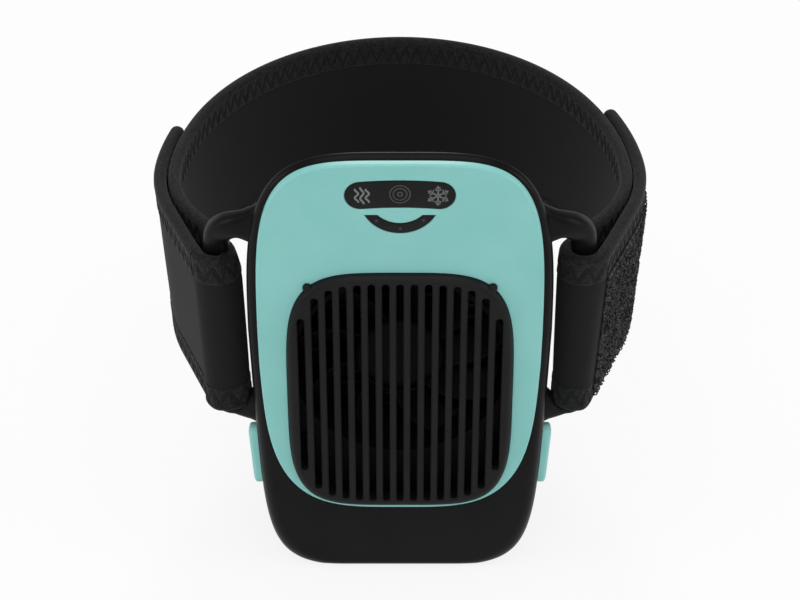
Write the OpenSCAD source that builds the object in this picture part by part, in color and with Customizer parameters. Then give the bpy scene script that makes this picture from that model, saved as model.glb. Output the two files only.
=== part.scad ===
// Wearable hot and cold therapy unit, held on a limb by a fold-back strap.
// Millimetres. +Z runs up the limb, -Y is the front and +X is the viewer's right.
// The origin is on the centre line of the flat base. A "depth" is measured back from the front rim.

/* [Case] */
// Width of the case at its widest
case_w = 79.6; // [78:0.2:98]
// Height of the case
case_h = 136; // [135:0.5:165]
// Height of the widest part above the base
waist_z = 76.3; // [75:0.1:78]
// Distance from the origin forward to the front rim
rim_reach = 14; // [12:0.5:16]
// Depth from the front rim to the rear face
case_depth = 31.3; // [31.3:0.1:37]
// Depth of the front half of the case
split_depth = 16; // [15:0.5:18]
// Thickness of the case walls
wall = 1.8; // [1.5:0.1:2]
// Thickness of the wall behind the front cover
front_wall = 2; // [1.6:0.1:2.2]
// Radius of the front edge
edge_r = 2.4; // [2:0.1:2.8]
// Radius of the rear edge
rear_edge_r = 4; // [3:0.5:5]
// Depth of the straight rim
rim_depth = 2.6; // [2.6:0.1:4]
// Fall of the top for each millimetre of depth behind the rim
top_slope = 0.8; // [0.6:0.05:0.8]
// Draw of the sides for each millimetre of depth behind the rim
side_slope = 0.15; // [0.1:0.01:0.16]
// Share by which the lower half narrows at the base
base_narrow = 0.07; // [0.05:0.01:0.1]
// Radius of a screw boss
boss_r = 3; // [2.6:0.1:3]

/* [Front cover] */
// Width of case rim left showing at the sides
rim_w = 2.7; // [2.4:0.1:3]
// Width of case rim left showing at the top
rim_top_w = 1; // [0.8:0.1:1.6]
// Height of the cover's lower edge above the base
cover_low_z = 23.8; // [23:0.1:24.6]
// Height of the cover's face in front of the rim
cover_rise = 2.2; // [2.2:0.1:3]
// Thickness of the cover
cover_wall = 1.2; // [1:0.1:1.2]
// Radius of the cover's edge
cover_edge_r = 0.6; // [0.4:0.1:1]

/* [Grille] */
// Width of the grille
grille_w = 59.4; // [56:0.1:60]
// Height of the grille
grille_h = 76.8; // [70:0.1:77]
// Height of the grille's centre above the base
grille_z = 64; // [64:0.1:66]
// Height of the grille in front of the cover
grille_rise = 2.2; // [2.1:0.1:4]
// Radius of the grille's edge
grille_edge_r = 2; // [1.2:0.1:2]
// Thickness of the grille
grille_wall = 2.4; // [2:0.1:2.6]
// Number of slots
slot_count = 15; // [11:2:15]
// Distance from slot to slot
slot_pitch = 3.67; // [3:0.01:3.7]
// Width of a slot
slot_w = 1.85; // [1.4:0.05:2.2]
// Width of the frame left round the slots
slot_border = 2.3; // [2:0.1:3]

/* [Windows] */
// Width of the mode window
pill_w = 27.8; // [24:0.1:29]
// Height of the mode window
pill_h = 8; // [7:0.1:8.4]
// Distance from the case's top down to the mode window's centre
pill_drop = 9.7; // [9.5:0.1:10.5]
// Radius along which the mode window bows upwards
pill_arch_r = 110; // [90:1:200]
// Distance from one mode symbol to the next
mode_pitch = 9.5; // [8:0.1:9.6]
// Distance from the case's top down to the level window's upper edge
smile_drop = 16; // [15.7:0.1:16.4]
// Outer radius of the level window
smile_out_r = 10; // [9:0.1:10]
// Depth of the level window's bow
smile_sag = 5.4; // [5:0.1:5.6]
// Inner radius of the level window
smile_in_r = 7.9; // [7.4:0.1:8]
// Depth of the level window's inner bow
smile_in_sag = 2.4; // [2.2:0.1:2.6]
// Thickness of the windows' lenses
lens_t = 1.6; // [1.2:0.1:1.8]

/* [Side buttons] */
// Length of a button
button_h = 19.6; // [16:0.1:20]
// Width of a button
button_w = 5.4; // [5:0.1:5.6]
// Height of the buttons' centre above the base
button_z = 36.9; // [35:0.1:37.5]
// Depth of the buttons' centre
button_depth = 6.1; // [6:0.1:6.5]
// Distance that a button stands out of the case
button_proud = 2.3; // [1.6:0.1:2.6]
// Angle by which a button follows the case's side
button_tilt = 3.5; // [3:0.1:4]
// Travel of a button
button_travel = 0.8; // [0.5:0.1:0.9]

/* [Cooling] */
// Side of the square fan
fan_size = 60; // [50:1:60]
// Depth of the fan
fan_depth = 10; // [9:0.5:10]
// Height of the fan's centre above the base
fan_z = 67.3; // [66.8:0.1:67.6]
// Radius of the fan's opening
fan_bore_r = 28.3; // [24:0.1:28.4]
// Number of fan blades
blade_count = 9; // [5:1:11]
// Height of the heat sink from its base's face to the tips of its fins
sink_depth = 8; // [7:0.5:8]
// Number of fins
fin_count = 17; // [12:1:18]
// Side of the square thermoelectric module
module_size = 40; // [30:1:42]
// Thickness of the thermoelectric module
module_t = 3.2; // [3:0.1:3.4]
// Side of the square contact plate
plate_size = 50; // [46:0.5:50]
// Corner radius of the contact plate
plate_r = 6; // [4:0.5:8]
// Distance that the contact plate stands out of the rear
plate_proud = 1.4; // [1:0.1:2]

/* [Power] */
// Width of the battery pack
battery_w = 57; // [44:0.5:57]
// Height of the battery pack
battery_h = 22; // [18:0.5:22]
// Depth of the battery pack
battery_t = 18; // [14:0.5:18]
// Height of the lower screw bosses
low_boss_z = 9.5; // [9:0.1:9.8]

/* [Strap ears] */
// Distance from the case's side out to the bar's axis
bar_reach = 7.9; // [7.6:0.1:9]
// Depth of the bar's axis
bar_depth = 10.2; // [9.5:0.1:11]
// Radius of the bar
bar_r = 3; // [2.6:0.1:3.2]
// Height of the slot's lower end above the base
slot_low_z = 51.7; // [51:0.1:54]
// Thickness of the ears' upper arms
upper_arm_t = 8.6; // [7.5:0.1:9]
// Thickness of the ears' lower arms
lower_arm_t = 6.6; // [6:0.1:7]

/* [Strap] */
// Width of the strap
strap_w = 50; // [40:0.5:60]
// Thickness of the strap's foam
strap_t = 2.6; // [2:0.1:2.8]
// Thickness of the edge tape
tape_t = 0.4; // [0.3:0.05:0.5]
// Width of the edge tape
tape_w = 8; // [6:0.5:9]
// Clearance between the strap and the bar
bar_gap = 0.3; // [0.2:0.05:0.5]
// Distance from the bars' axes out to the side of the loop
loop_bulge = 13.5; // [12:0.1:17]
// Depth of the loop's centre
loop_depth = 50; // [47:1:62]
// Distance from the loop's centre to the middle of the strap behind the limb
loop_back = 68.7; // [60:0.1:84]
// Distance from the loop's centre to the middle of the folded-back ends if they ran on to the front
loop_front = 54.7; // [52:0.1:58]
// Distance from the band's middle out to the middle of a folded-back end
lay_gap = 3.8; // [3.6:0.05:4.4]
// Angle round the loop at which the left end stops
left_end_angle = 15; // [5:1:25]
// Angle round the loop at which the right end stops
right_end_angle = 25; // [10:1:35]
// Thickness of the hook patches
hook_t = 0.85; // [0.6:0.05:0.9]
// Thickness of the pile patch
pile_t = 1.2; // [0.8:0.05:1.4]

/* [Hidden] */

$fn = 48;
teal = "#7fc2bb";
black = "#222223";
dark = "#333436";
metal = "#b9bcc0";
board_green = "#2f6b45";

outline_steps = 56;
cut = 0.5;             // how far a cutting shape runs past the face that it cuts
running_gap = 0.05;    // radial clearance of a turning shaft
part_gap = 0.15;       // clearance between two fitted mouldings
joint_gap = 0.2;       // clearance at the strap's two folds

case_half = case_w / 2;
case_up = case_h - waist_z;
base_cut = 0.4;        // what the flat base takes off the bottom of the outline
case_up_power = 3.9;
case_down_power = 6.5;
cover_half = case_half - rim_w;
cover_up = case_up - rim_top_w;
cover_down = waist_z - cover_low_z;
cover_up_power = 4.4;
cover_down_power = 3.45;
grille_up_power = 4.1;
grille_down_power = 4.4;
opening_inset = 0.6;   // how far the front wall reaches in behind the grille
flange_w = 0.4;
snap_r = 1.3;
snap_inset = 5.1;       // the grille's snap heads, in from its side and down from its top
snap_drop = 3.9;
lip_t = 1.2;
lip_h = 2;
rear_flat_depth = case_depth - rear_edge_r;
rear_inner_depth = case_depth - wall;

pill_z = case_h - pill_drop;
smile_z = case_h - smile_drop;
lens_lip_w = 1;
lens_lip_t = 0.8;
guide_half_w = pill_w / 2 + 0.6;
guide_low_z = smile_z - smile_sag - 0.8;
guide_high_z = pill_z + pill_h / 2 - 0.6;
lens_seat = cover_wall - cover_rise + 0.05;
guide_front = lens_seat + lens_lip_t + 0.05;
board_t = 1.6;
board_depth = 7;
led_t = 0.5;
guide_back = board_depth - led_t - 0.1;
board_half_w = 22;
board_low_z = guide_low_z - 0.9;
board_high_z = pill_z + 1;
post_x = 19;
post_z = (board_low_z + board_high_z) / 2;
post_r = 2;

// The cooling stack is measured forward from the rear wall.
gasket_t = 0.3;
flange_t = 1;
flange_over = 3;
flange_depth = rear_inner_depth - gasket_t - flange_t;
sink_back = flange_depth - module_t;
sink_base_t = 2.4;
fan_back = sink_back - sink_depth;
fan_front = fan_back - fan_depth;
baffle_t = 1.5;
baffle_wall = 1.4;
fan_screw_at = fan_size / 2 - 5;
fan_head_r = 2.2;
fan_head_t = 0.9;
clamp_at = fan_size / 2 - 4;
clamp_r = 0.9;
rotor_hub_r = 12.2;
rotor_front = fan_front + 1.2;
rotor_back = fan_back - 1.8;
shaft_r = 1;
sleeve_r = 2.6;

high_boss_x = 20;
boss_clear = 0.25;     // clearance between the upper screw bosses and the rear shell's shoulder
rear_inset = rear_edge_r + side_slope * (rear_inner_depth - rim_depth);
rear_fall = rear_edge_r + top_slope * (rear_inner_depth - rim_depth);
high_boss_z = waist_z - boss_r * sin(45) - boss_clear
    + (case_up - rear_fall) * pow(1 - pow((high_boss_x + boss_r * cos(45)) / (case_half - rear_inset),
                                          case_up_power), 1 / case_up_power);
low_boss_x = 20.5;
case_screw_r = 1.2;
case_screw_l = 9;
head_r = 2.4;
head_t = 1;

battery_low_z = low_boss_z + boss_r + 0.7;
battery_back = rear_inner_depth - 3.5;
usb_w = 9;
usb_t = 3.2;
usb_l = 7.3;
usb_front = 10;
usb_low_z = 0.5;

button_seat_x = case_half * (1 - base_narrow * (waist_z - button_z) / waist_z)
    - side_slope * (button_depth - rim_depth);
button_face_x = button_seat_x + button_proud;
button_flange_t = 0.8;
flange_half_h = button_h / 2 + 1;
flange_gap = 0.6;      // clearance between a button's flange and the wall at the flange's lower end
flange_drop = waist_z - button_z + flange_half_h;
button_flange_x = case_half
    * pow(1 - pow(flange_drop / (waist_z + base_cut), case_down_power), 1 / case_down_power)
    * (1 - base_narrow * flange_drop / (waist_z + base_cut))
    - side_slope * (button_depth - rim_depth) + flange_half_h * tan(button_tilt) - wall - flange_gap;
switch_top_x = button_flange_x - button_flange_t - button_travel - 0.35;
switch_t = 1.1;
switch_board_t = 0.6;

bar = [case_half + bar_reach, -rim_reach + bar_depth];
slot_spare = 6;
slot_high_z = slot_low_z + strap_w + slot_spare;
strap_low_z = slot_low_z + 0.6;
wrap_r = bar_r + bar_gap + tape_t + strap_t / 2;
loop_half = bar[0] + loop_bulge;
loop_y = -rim_reach + loop_depth;
slot_turn = 142;       // direction from the bar's axis to where the band leaves it
line_turn = -20;       // angle round the loop at which a folded-back end starts to curve
loop_step = 5;
patch_low_z = strap_low_z + tape_w + 0.3;
patch_h = strap_w - 2 * tape_w - 0.6;

// ---------- outlines and shells ----------

function power_of(v, e) = sign(v) * pow(abs(v), e);

// A closed outline whose corners get squarer as the powers rise. narrow draws its lower half in.
function outline(half_w, up, down, up_power, down_power, narrow) =
    [for (i = [0:outline_steps - 1])
        let(t = 360 * (i + 0.5) / outline_steps,
            e = 2 / (sin(t) > 0 ? up_power : down_power),
            z = (sin(t) > 0 ? up : down) * power_of(sin(t), e))
        [half_w * power_of(cos(t), e) * (1 - narrow * max(0, -z) / down), z]];

// The case's outline at a depth, drawn in by inset and cut flat at the base.
function case_ring(depth, inset) =
    let(back = max(0, depth - rim_depth))
    [for (p = outline(case_half - inset - side_slope * back, case_up - inset - top_slope * back,
                      waist_z + base_cut - inset, case_up_power, case_down_power, base_narrow))
        [p[0], depth - rim_reach, max(p[1] + waist_z, inset)]];

function cover_outline(inset) =
    [for (p = outline(cover_half - inset, cover_up - inset, cover_down - inset,
                      cover_up_power, cover_down_power, 0))
        [p[0], p[1] + waist_z]];

function cover_ring(depth, inset) =
    [for (p = cover_outline(inset)) [p[0], depth - rim_reach, p[1]]];

function grille_outline(inset) =
    [for (p = outline(grille_w / 2 - inset, grille_h / 2 - inset, grille_h / 2 - inset,
                      grille_up_power, grille_down_power, 0))
        [p[0], p[1] + grille_z]];

function grille_ring(depth, inset) =
    [for (p = grille_outline(inset)) [p[0], depth - rim_reach, p[1]]];

// Steps round a quarter of an edge of radius r, each as [depth, inset].
function edge_steps(r) = [for (a = [0:30:90]) [r * (1 - cos(a)), r * (1 - sin(a))]];

// A surface through the rings, capped at both ends, or joined end to end as a hoop.
module loft(rings, hoop = false) {
    n = outline_steps;
    last = len(rings) - 1;
    polyhedron(
        points = [for (ring = rings) each ring],
        faces = concat(
            [for (j = [0:hoop ? last : last - 1])
                for (i = [0:n - 1])
                    let(k = (j + 1) % (last + 1), m = (i + 1) % n)
                    each [[j * n + i, j * n + m, k * n + m], [j * n + i, k * n + m, k * n + i]]],
            hoop ? [] : [[for (i = [n - 1:-1:0]) i], [for (i = [0:n - 1]) last * n + i]]),
        convexity = 8);
}

// ---------- shared shapes ----------

// A shape drawn in X and Z, made solid between two depths.
module slab(front, back) {
    translate([0, back - rim_reach, 0])
        rotate([90, 0, 0])
            linear_extrude(back - front)
                children();
}

// A round bar along the depth.
module rod(x, z, r, front, back) {
    slab(front, back)
        translate([x, z])
            circle(r);
}

module box(x0, x1, front, back, z0, z1) {
    translate([x0, front - rim_reach, z0])
        cube([x1 - x0, back - front, z1 - z0]);
}

module rounded_square(size, r) {
    for (turn = [0, 90])
        rotate(turn)
            square([size, size - 2 * r], center = true);
    for (x = [-1, 1])
        for (z = [-1, 1])
            translate([x, z] * (size / 2 - r))
                circle(r);
}

module at_corners(distance, centre_z) {
    for (x = [-1, 1])
        for (z = [-1, 1])
            translate([x * distance, 0, centre_z + z * distance])
                children();
}

module stadium(length, width) {
    square([length - width, width], center = true);
    for (side = [-1, 1])
        translate([side * (length - width) / 2, 0])
            circle(width / 2);
}

// The mode window's outline: a band of an arc with round ends, grown by grow.
module pill_shape(grow) {
    half_angle = asin((pill_w - pill_h) / 2 / pill_arch_r);
    translate([0, pill_z - pill_arch_r]) {
        intersection() {
            difference() {
                circle(pill_arch_r + pill_h / 2 + grow, $fn = 240);
                circle(pill_arch_r - pill_h / 2 - grow, $fn = 240);
            }
            polygon([[0, 0], [-2 * pill_arch_r * tan(half_angle), 2 * pill_arch_r],
                     [2 * pill_arch_r * tan(half_angle), 2 * pill_arch_r]]);
        }
        for (side = [-1, 1])
            rotate(side * half_angle)
                translate([0, pill_arch_r])
                    circle(pill_h / 2 + grow);
    }
}

// The level window's outline: a crescent cut level along its top, grown by grow.
module smile_shape(grow) {
    difference() {
        translate([0, smile_z - smile_sag + smile_out_r])
            circle(smile_out_r + grow);
        translate([0, smile_z - smile_in_sag + smile_in_r])
            circle(smile_in_r - grow);
        translate([-smile_out_r - 5, smile_z + grow])
            square([2 * smile_out_r + 10, 3 * smile_out_r]);
    }
}

// ---------- case ----------

// The right ear as seen from the front, with the slot cut through it.
module ear_front_shape() {
    s = case_half;
    top = slot_high_z + upper_arm_t;
    low = slot_low_z - lower_arm_t;
    out = bar[0] + bar_r;
    difference() {
        polygon([[s - 3.4, low + 2.6], [s, low + 3], [s + 4, low + 2.4], [s + 7.6, low + 3],
                 [out - 0.6, low + 5.4], [out + 0.2, low + 9],
                 [out + 0.2, top - 11.6], [out - 0.2, top - 8.2], [out - 1.7, top - 4.9],
                 [s + 6.4, top - 1.9], [s + 3.6, top - 0.2], [s + 0.6, top + 1.3],
                 [s - 1.6, top + 3.2], [s - 3.4, top + 5.6]]);
        translate([s, slot_low_z])
            square([bar_reach + bar_r + 1, slot_high_z - slot_low_z]);
    }
}

// The right ear as seen from above.
module ear_plan_shape() {
    s = case_half;
    y = -rim_reach;
    polygon([[s - 3.4, y + 1.8], [s, y + 2.4], [s + 2.6, y + 3.6], [s + 5.4, y + 5.6],
             [bar[0] + 0.6, y + bar_depth - 3], bar, [bar[0] - 0.6, y + bar_depth + 2.9],
             [s + 3.6, y + 11.6], [s, y + 10], [s - 3.4, y + 9.4]]);
    translate(bar)
        circle(bar_r + 0.2);
}

module ear() {
    intersection() {
        slab(0, bar_depth + 6)
            ear_front_shape();
        linear_extrude(case_h)
            ear_plan_shape();
    }
    translate([bar[0], bar[1], slot_low_z - 2])
        cylinder(r = bar_r, h = slot_high_z - slot_low_z + 4);
}

module button_shape(grow) {
    rotate([0, 90, 0])
        linear_extrude(10, center = true)
            stadium(button_h + 2 * grow, button_w + 2 * grow);
}

// Places its children on the right button's axis, leaning as the case's side does.
module at_button(x) {
    translate([x, button_depth - rim_reach, button_z])
        rotate([0, button_tilt, 0])
            children();
}

module main_case() {
    edge = edge_steps(edge_r);
    color(black)
    difference() {
        union() {
            loft(concat(
                [grille_ring(0, opening_inset)],
                [for (e = edge) case_ring(e[0], e[1])],
                [case_ring(rim_depth, 0), case_ring(split_depth, 0),
                 case_ring(split_depth, wall), case_ring(rim_depth, wall),
                 case_ring(front_wall, wall), grille_ring(front_wall, opening_inset)]), true);
            ear();
            mirror([1, 0, 0])
                ear();
            for (side = [-1, 1]) {
                rod(side * high_boss_x, high_boss_z, boss_r, front_wall - cut, rear_inner_depth);
                rod(side * low_boss_x, low_boss_z, boss_r, front_wall - cut, rear_inner_depth);
                rod(side * post_x, post_z, post_r, front_wall - cut, board_depth);
            }
        }
        for (side = [-1, 1]) {
            for (at = [[high_boss_x, high_boss_z], [low_boss_x, low_boss_z]])
                rod(side * at[0], at[1], case_screw_r + running_gap,
                    rear_inner_depth - case_screw_l, rear_inner_depth + cut);
            rod(side * post_x, post_z, 1 + running_gap, front_wall + 1, board_depth + cut);
        }
        box(-guide_half_w - part_gap, guide_half_w + part_gap, -cut, front_wall + cut,
            guide_low_z - part_gap, guide_high_z + part_gap);
        for (side = [0, 1])
            mirror([side, 0, 0])
                at_button(button_seat_x)
                    button_shape(part_gap);
        translate([0, usb_front + usb_t / 2 - rim_reach, -cut])
            linear_extrude(wall + 2 * cut)
                stadium(usb_w + 0.4, usb_t + 0.4);
    }
}

module front_cover() {
    edge = edge_steps(cover_edge_r);
    color(teal)
    difference() {
        loft(concat(
            [for (e = edge) cover_ring(e[0] - cover_rise, e[1])],
            [cover_ring(0, 0), cover_ring(0, cover_wall),
             cover_ring(cover_wall - cover_rise, cover_wall)]));
        slab(-cover_rise - cut, cut)
            polygon(grille_outline(-part_gap));
        slab(-cover_rise - cut, cut)
            pill_shape(part_gap / 3);
        slab(-cover_rise - cut, cut)
            smile_shape(part_gap / 3);
    }
}

module rear_cover() {
    edge = edge_steps(rear_edge_r);
    inner_r = rear_edge_r - wall;
    inner = edge_steps(inner_r);
    vents = [for (i = [-4:4]) fan_z + 5.4 * i];
    color(black)
    difference() {
        loft(concat(
            [for (e = inner) case_ring(rear_inner_depth - e[0], wall + e[1])],
            [case_ring(split_depth + 1, wall), case_ring(split_depth, wall + lip_t),
             case_ring(split_depth - lip_h, wall + lip_t), case_ring(split_depth - lip_h, wall + part_gap),
             case_ring(split_depth, wall + part_gap), case_ring(split_depth, 0)],
            [for (i = [3:-1:0]) case_ring(case_depth - edge[i][0], edge[i][1])]));
        slab(rear_inner_depth - cut, case_depth + cut)
            translate([0, fan_z])
                rounded_square(plate_size + 0.4, plate_r + 0.2);
        for (z = vents)
            box(-case_half - 1, case_half + 1, fan_back + 1, sink_back - sink_base_t, z - 1.1, z + 1.1);
        for (side = [-1, 1])
            for (at = [[high_boss_x, high_boss_z], [low_boss_x, low_boss_z]]) {
                rod(side * at[0], at[1], case_screw_r + 0.3, rear_inner_depth - cut, case_depth + cut);
                rod(side * at[0], at[1], head_r + 0.3, case_depth - head_t, case_depth + cut);
            }
    }
}

module case_screws() {
    color(metal)
    for (side = [-1, 1])
        for (at = [[high_boss_x, high_boss_z], [low_boss_x, low_boss_z]]) {
            rod(side * at[0], at[1], case_screw_r,
                rear_inner_depth - case_screw_l + 0.5, case_depth - head_t / 2);
            rod(side * at[0], at[1], head_r, case_depth - head_t, case_depth - 0.1);
        }
}

// ---------- grille and windows ----------

module grille() {
    front = -cover_rise - grille_rise;
    edge = edge_steps(grille_edge_r);
    color(dark)
    difference() {
        union() {
            loft(concat(
                [for (e = edge) grille_ring(front + e[0], e[1])],
                [grille_ring(lens_seat, 0), grille_ring(lens_seat, -flange_w), grille_ring(-0.1, -flange_w),
                 grille_ring(-0.1, grille_wall), grille_ring(front + grille_wall, grille_wall)]));
            for (side = [-1, 1])
                rod(side * (grille_w / 2 - snap_inset), grille_z + grille_h / 2 - snap_drop, snap_r,
                    -cover_rise - 1.4, -cover_rise - 0.1);
        }
        // The flange ends where the cover's side wall stands.
        slab(lens_seat - part_gap / 2, cut)
            difference() {
                translate([-case_w, -case_h])
                    square([2 * case_w, 3 * case_h]);
                polygon(cover_outline(cover_wall + part_gap / 3));
            }
        for (i = [0:slot_count - 1]) {
            x = (i - (slot_count - 1) / 2) * slot_pitch;
            reach = (grille_h / 2 - slot_border)
                * pow(1 - pow(abs(x) / (grille_w / 2 - slot_border), grille_up_power),
                      1 / grille_up_power);
            slab(front - cut, front + grille_wall + 4)
                translate([x, grille_z])
                    rotate(90)
                        stadium(2 * reach, slot_w);
        }
    }
}

module lens(front) {
    slab(front, lens_seat + lens_lip_t)
        children(0);
    slab(lens_seat, lens_seat + lens_lip_t)
        children(1);
}

module display_window() {
    color("#141415")
        lens(-cover_rise) {
            pill_shape(0);
            pill_shape(lens_lip_w);
        }
}

module level_window() {
    color("#141415")
        lens(-cover_rise) {
            smile_shape(0);
            difference() {
                smile_shape(lens_lip_w);
                pill_shape(lens_lip_w + part_gap);
            }
        }
}

module light_guide() {
    color(dark)
    difference() {
        box(-guide_half_w, guide_half_w, guide_front, guide_back, guide_low_z, guide_high_z);
        for (i = [-1:1]) {
            rod(i * mode_pitch, pill_z, 2.6, guide_front - cut, guide_back + cut);
            rod(i * smile_out_r / 2, smile_z - smile_sag + 1.4 + abs(i) * 1.3, 0.8,
                guide_front - cut, guide_back + cut);
        }
    }
}

module control_board() {
    color(board_green)
    difference() {
        union() {
            box(-board_half_w, board_half_w, board_depth, board_depth + board_t,
                board_low_z, board_high_z);
            box(-6, 4, board_depth + board_t, board_depth + board_t + 1.2,
                board_low_z + 3, board_low_z + 11);
            box(9, 16, board_depth + board_t, board_depth + board_t + 2, board_low_z + 1, board_low_z + 5);
        }
        for (side = [-1, 1])
            rod(side * post_x, post_z, 1.2, board_depth - cut, board_depth + board_t + cut);
    }
}

module indicator_leds() {
    color("white")
    for (i = [-1:1]) {
        box(i * mode_pitch - 1, i * mode_pitch + 1, board_depth - led_t, board_depth,
            pill_z - 0.8, pill_z + 0.8);
        box(i * smile_out_r / 2 - 0.6, i * smile_out_r / 2 + 0.6, board_depth - led_t, board_depth,
            smile_z - smile_sag + 1 + abs(i) * 1.3, smile_z - smile_sag + 1.8 + abs(i) * 1.3);
    }
}

module board_screws() {
    color(metal)
    for (side = [-1, 1]) {
        rod(side * post_x, post_z, 1, front_wall + 1.5, board_depth + board_t + 0.5);
        rod(side * post_x, post_z, 1.9, board_depth + board_t, board_depth + board_t + 1.2);
    }
}

// ---------- cooling ----------

module fan_baffle() {
    color("#2b2c2e")
    difference() {
        union() {
            difference() {
                slab(front_wall, fan_front)
                    polygon(grille_outline(opening_inset - baffle_wall));
                slab(front_wall - cut, fan_front - baffle_t)
                    polygon(grille_outline(opening_inset));
            }
            rod(0, fan_z, fan_bore_r + 1.7, fan_front - baffle_t - 1, fan_front);
        }
        rod(0, fan_z, fan_bore_r + 0.2, front_wall, fan_front + cut);
        at_corners(fan_screw_at, fan_z) {
            rod(0, 0, 1.5, front_wall, fan_front + cut);
            rod(0, 0, fan_head_r + part_gap,
                fan_front - baffle_t - fan_head_t - part_gap, fan_front - baffle_t);
        }
    }
}

module fan_frame() {
    color("#1c1c1d")
    difference() {
        union() {
            difference() {
                slab(fan_front, fan_back)
                    translate([0, fan_z])
                        rounded_square(fan_size, 4);
                rod(0, fan_z, fan_bore_r, fan_front - cut, fan_back + cut);
            }
            for (turn = [30:120:270])
                translate([0, 0, fan_z])
                    rotate([0, turn, 0])
                        box(8, fan_bore_r + 0.6, fan_back - 1.5, fan_back - 0.2, -1.6, 1.6);
            rod(0, fan_z, rotor_hub_r - 1, fan_back - 1.7, fan_back - 0.1);
            rod(0, fan_z, sleeve_r, rotor_front + 2, fan_back - 1);
        }
        rod(0, fan_z, shaft_r + running_gap, rotor_front, fan_back - 0.8);
        at_corners(fan_screw_at, fan_z)
            rod(0, 0, 1.6, fan_front - cut, fan_back + cut);
    }
}

module fan_stator() {
    color("#a5673a")
    difference() {
        union() {
            rod(0, fan_z, 5, rotor_front + 2.4, fan_back - 2.6);
            for (turn = [0:60:300])
                translate([0, 0, fan_z])
                    rotate([0, turn, 0])
                        box(3, rotor_hub_r - 2.6, rotor_front + 2.4, fan_back - 2.6, -2, 2);
        }
        rod(0, fan_z, sleeve_r + running_gap, rotor_front, fan_back);
    }
}

module fan_rotor() {
    blade_r = fan_bore_r - 0.9;
    middle = (rotor_front + rotor_back) / 2 - rim_reach;
    color("#18181a") {
        difference() {
            rod(0, fan_z, rotor_hub_r, rotor_front, rotor_back);
            rod(0, fan_z, rotor_hub_r - 1.2, rotor_front + 1.2, rotor_back + cut);
        }
        rod(0, fan_z, shaft_r, rotor_front + 0.5, fan_back - 1.2);
        intersection() {
            translate([0, middle, fan_z])
                for (i = [0:blade_count - 1])
                    rotate([0, 360 * i / blade_count, 0])
                        rotate([52, 0, 0])
                            translate([0, -7, -0.6])
                                cube([blade_r + 2, 14, 1.2]);
            difference() {
                rod(0, fan_z, blade_r, rotor_front + 0.2, rotor_back);
                rod(0, fan_z, rotor_hub_r - 0.4, rotor_front, rotor_back + cut);
            }
        }
    }
}

module fan_screws() {
    color(metal)
    at_corners(fan_screw_at, fan_z) {
        rod(0, 0, 1.3, fan_front - baffle_t - 0.4, fan_front + 7);
        rod(0, 0, fan_head_r, fan_front - baffle_t - fan_head_t, fan_front - baffle_t);
    }
}

module heat_sink() {
    half = fan_size / 2;
    base_front = sink_back - sink_base_t;
    color(metal)
    difference() {
        union() {
            box(-half, half, base_front, sink_back, fan_z - half, fan_z + half);
            for (i = [0:fin_count - 1])
                box(-half, half, fan_back, base_front + cut,
                    fan_z - half + i * (fan_size - 1) / (fin_count - 1),
                    fan_z - half + i * (fan_size - 1) / (fin_count - 1) + 1);
        }
        at_corners(clamp_at, fan_z) {
            rod(0, 0, 3, fan_back - cut, base_front);
            rod(0, 0, clamp_r + 0.2, base_front - cut, sink_back + cut);
        }
    }
}

module module_ceramics() {
    half = module_size / 2;
    color("white")
    for (front = [sink_back, flange_depth - 0.7])
        box(-half, half, front, front + 0.7, fan_z - half, fan_z + half);
}

module module_pellets() {
    pitch = module_size / 9;
    color("#8d8f93")
    for (i = [-3.5:3.5])
        for (j = [-3.5:3.5])
            box(i * pitch - 0.9, i * pitch + 0.9, sink_back + 0.7, flange_depth - 0.7,
                fan_z + j * pitch - 0.9, fan_z + j * pitch + 0.9);
}

module thermistor() {
    color("#1d1d1d")
        rod(module_size / 2 + 3, fan_z, 1.3, flange_depth - 1.8, flange_depth);
}

module contact_plate() {
    color("#c4c7ca")
    difference() {
        union() {
            slab(flange_depth, flange_depth + flange_t)
                translate([0, fan_z])
                    rounded_square(plate_size + 2 * flange_over, 3);
            slab(flange_depth, case_depth + plate_proud)
                translate([0, fan_z])
                    rounded_square(plate_size, plate_r);
        }
        at_corners(clamp_at, fan_z)
            rod(0, 0, clamp_r + running_gap, flange_depth - cut, flange_depth + flange_t + cut);
    }
}

module plate_gasket() {
    color("#3a3a3c")
    slab(flange_depth + flange_t, rear_inner_depth)
        translate([0, fan_z])
            difference() {
                rounded_square(plate_size + 2 * flange_over - 0.4, 3);
                rounded_square(plate_size + 0.6, plate_r + 0.3);
            }
}

module clamp_screws() {
    base_front = sink_back - sink_base_t;
    color(metal)
    at_corners(clamp_at, fan_z) {
        rod(0, 0, clamp_r, base_front - 0.5, flange_depth + flange_t - 0.1);
        rod(0, 0, 1.9, base_front - 1.4, base_front);
    }
}

// ---------- power ----------

module battery_pack() {
    color("#3f5d8a")
        box(-battery_w / 2, battery_w / 2, battery_back - battery_t, battery_back,
            battery_low_z, battery_low_z + battery_h);
}

module battery_pad() {
    color("#55565a")
        box(-battery_w / 2 + 4, battery_w / 2 - 4, battery_back, rear_inner_depth,
            battery_low_z + 1, battery_low_z + battery_h - 1);
}

module charge_board() {
    color(board_green)
        box(-13, 13, usb_front + usb_t, usb_front + usb_t + 1.2,
            wall + lip_t + 0.4, battery_low_z - 0.3);
}

module usb_socket() {
    middle = usb_front + usb_t / 2 - rim_reach;
    color(metal)
    difference() {
        translate([0, middle, usb_low_z])
            linear_extrude(usb_l)
                stadium(usb_w, usb_t);
        difference() {
            translate([0, middle, usb_low_z - cut])
                linear_extrude(usb_l - 0.5)
                    stadium(usb_w - 0.6, usb_t - 0.6);
            translate([-3.3, middle - 0.35, usb_low_z])
                cube([6.6, 0.7, usb_l]);
        }
    }
}

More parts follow.
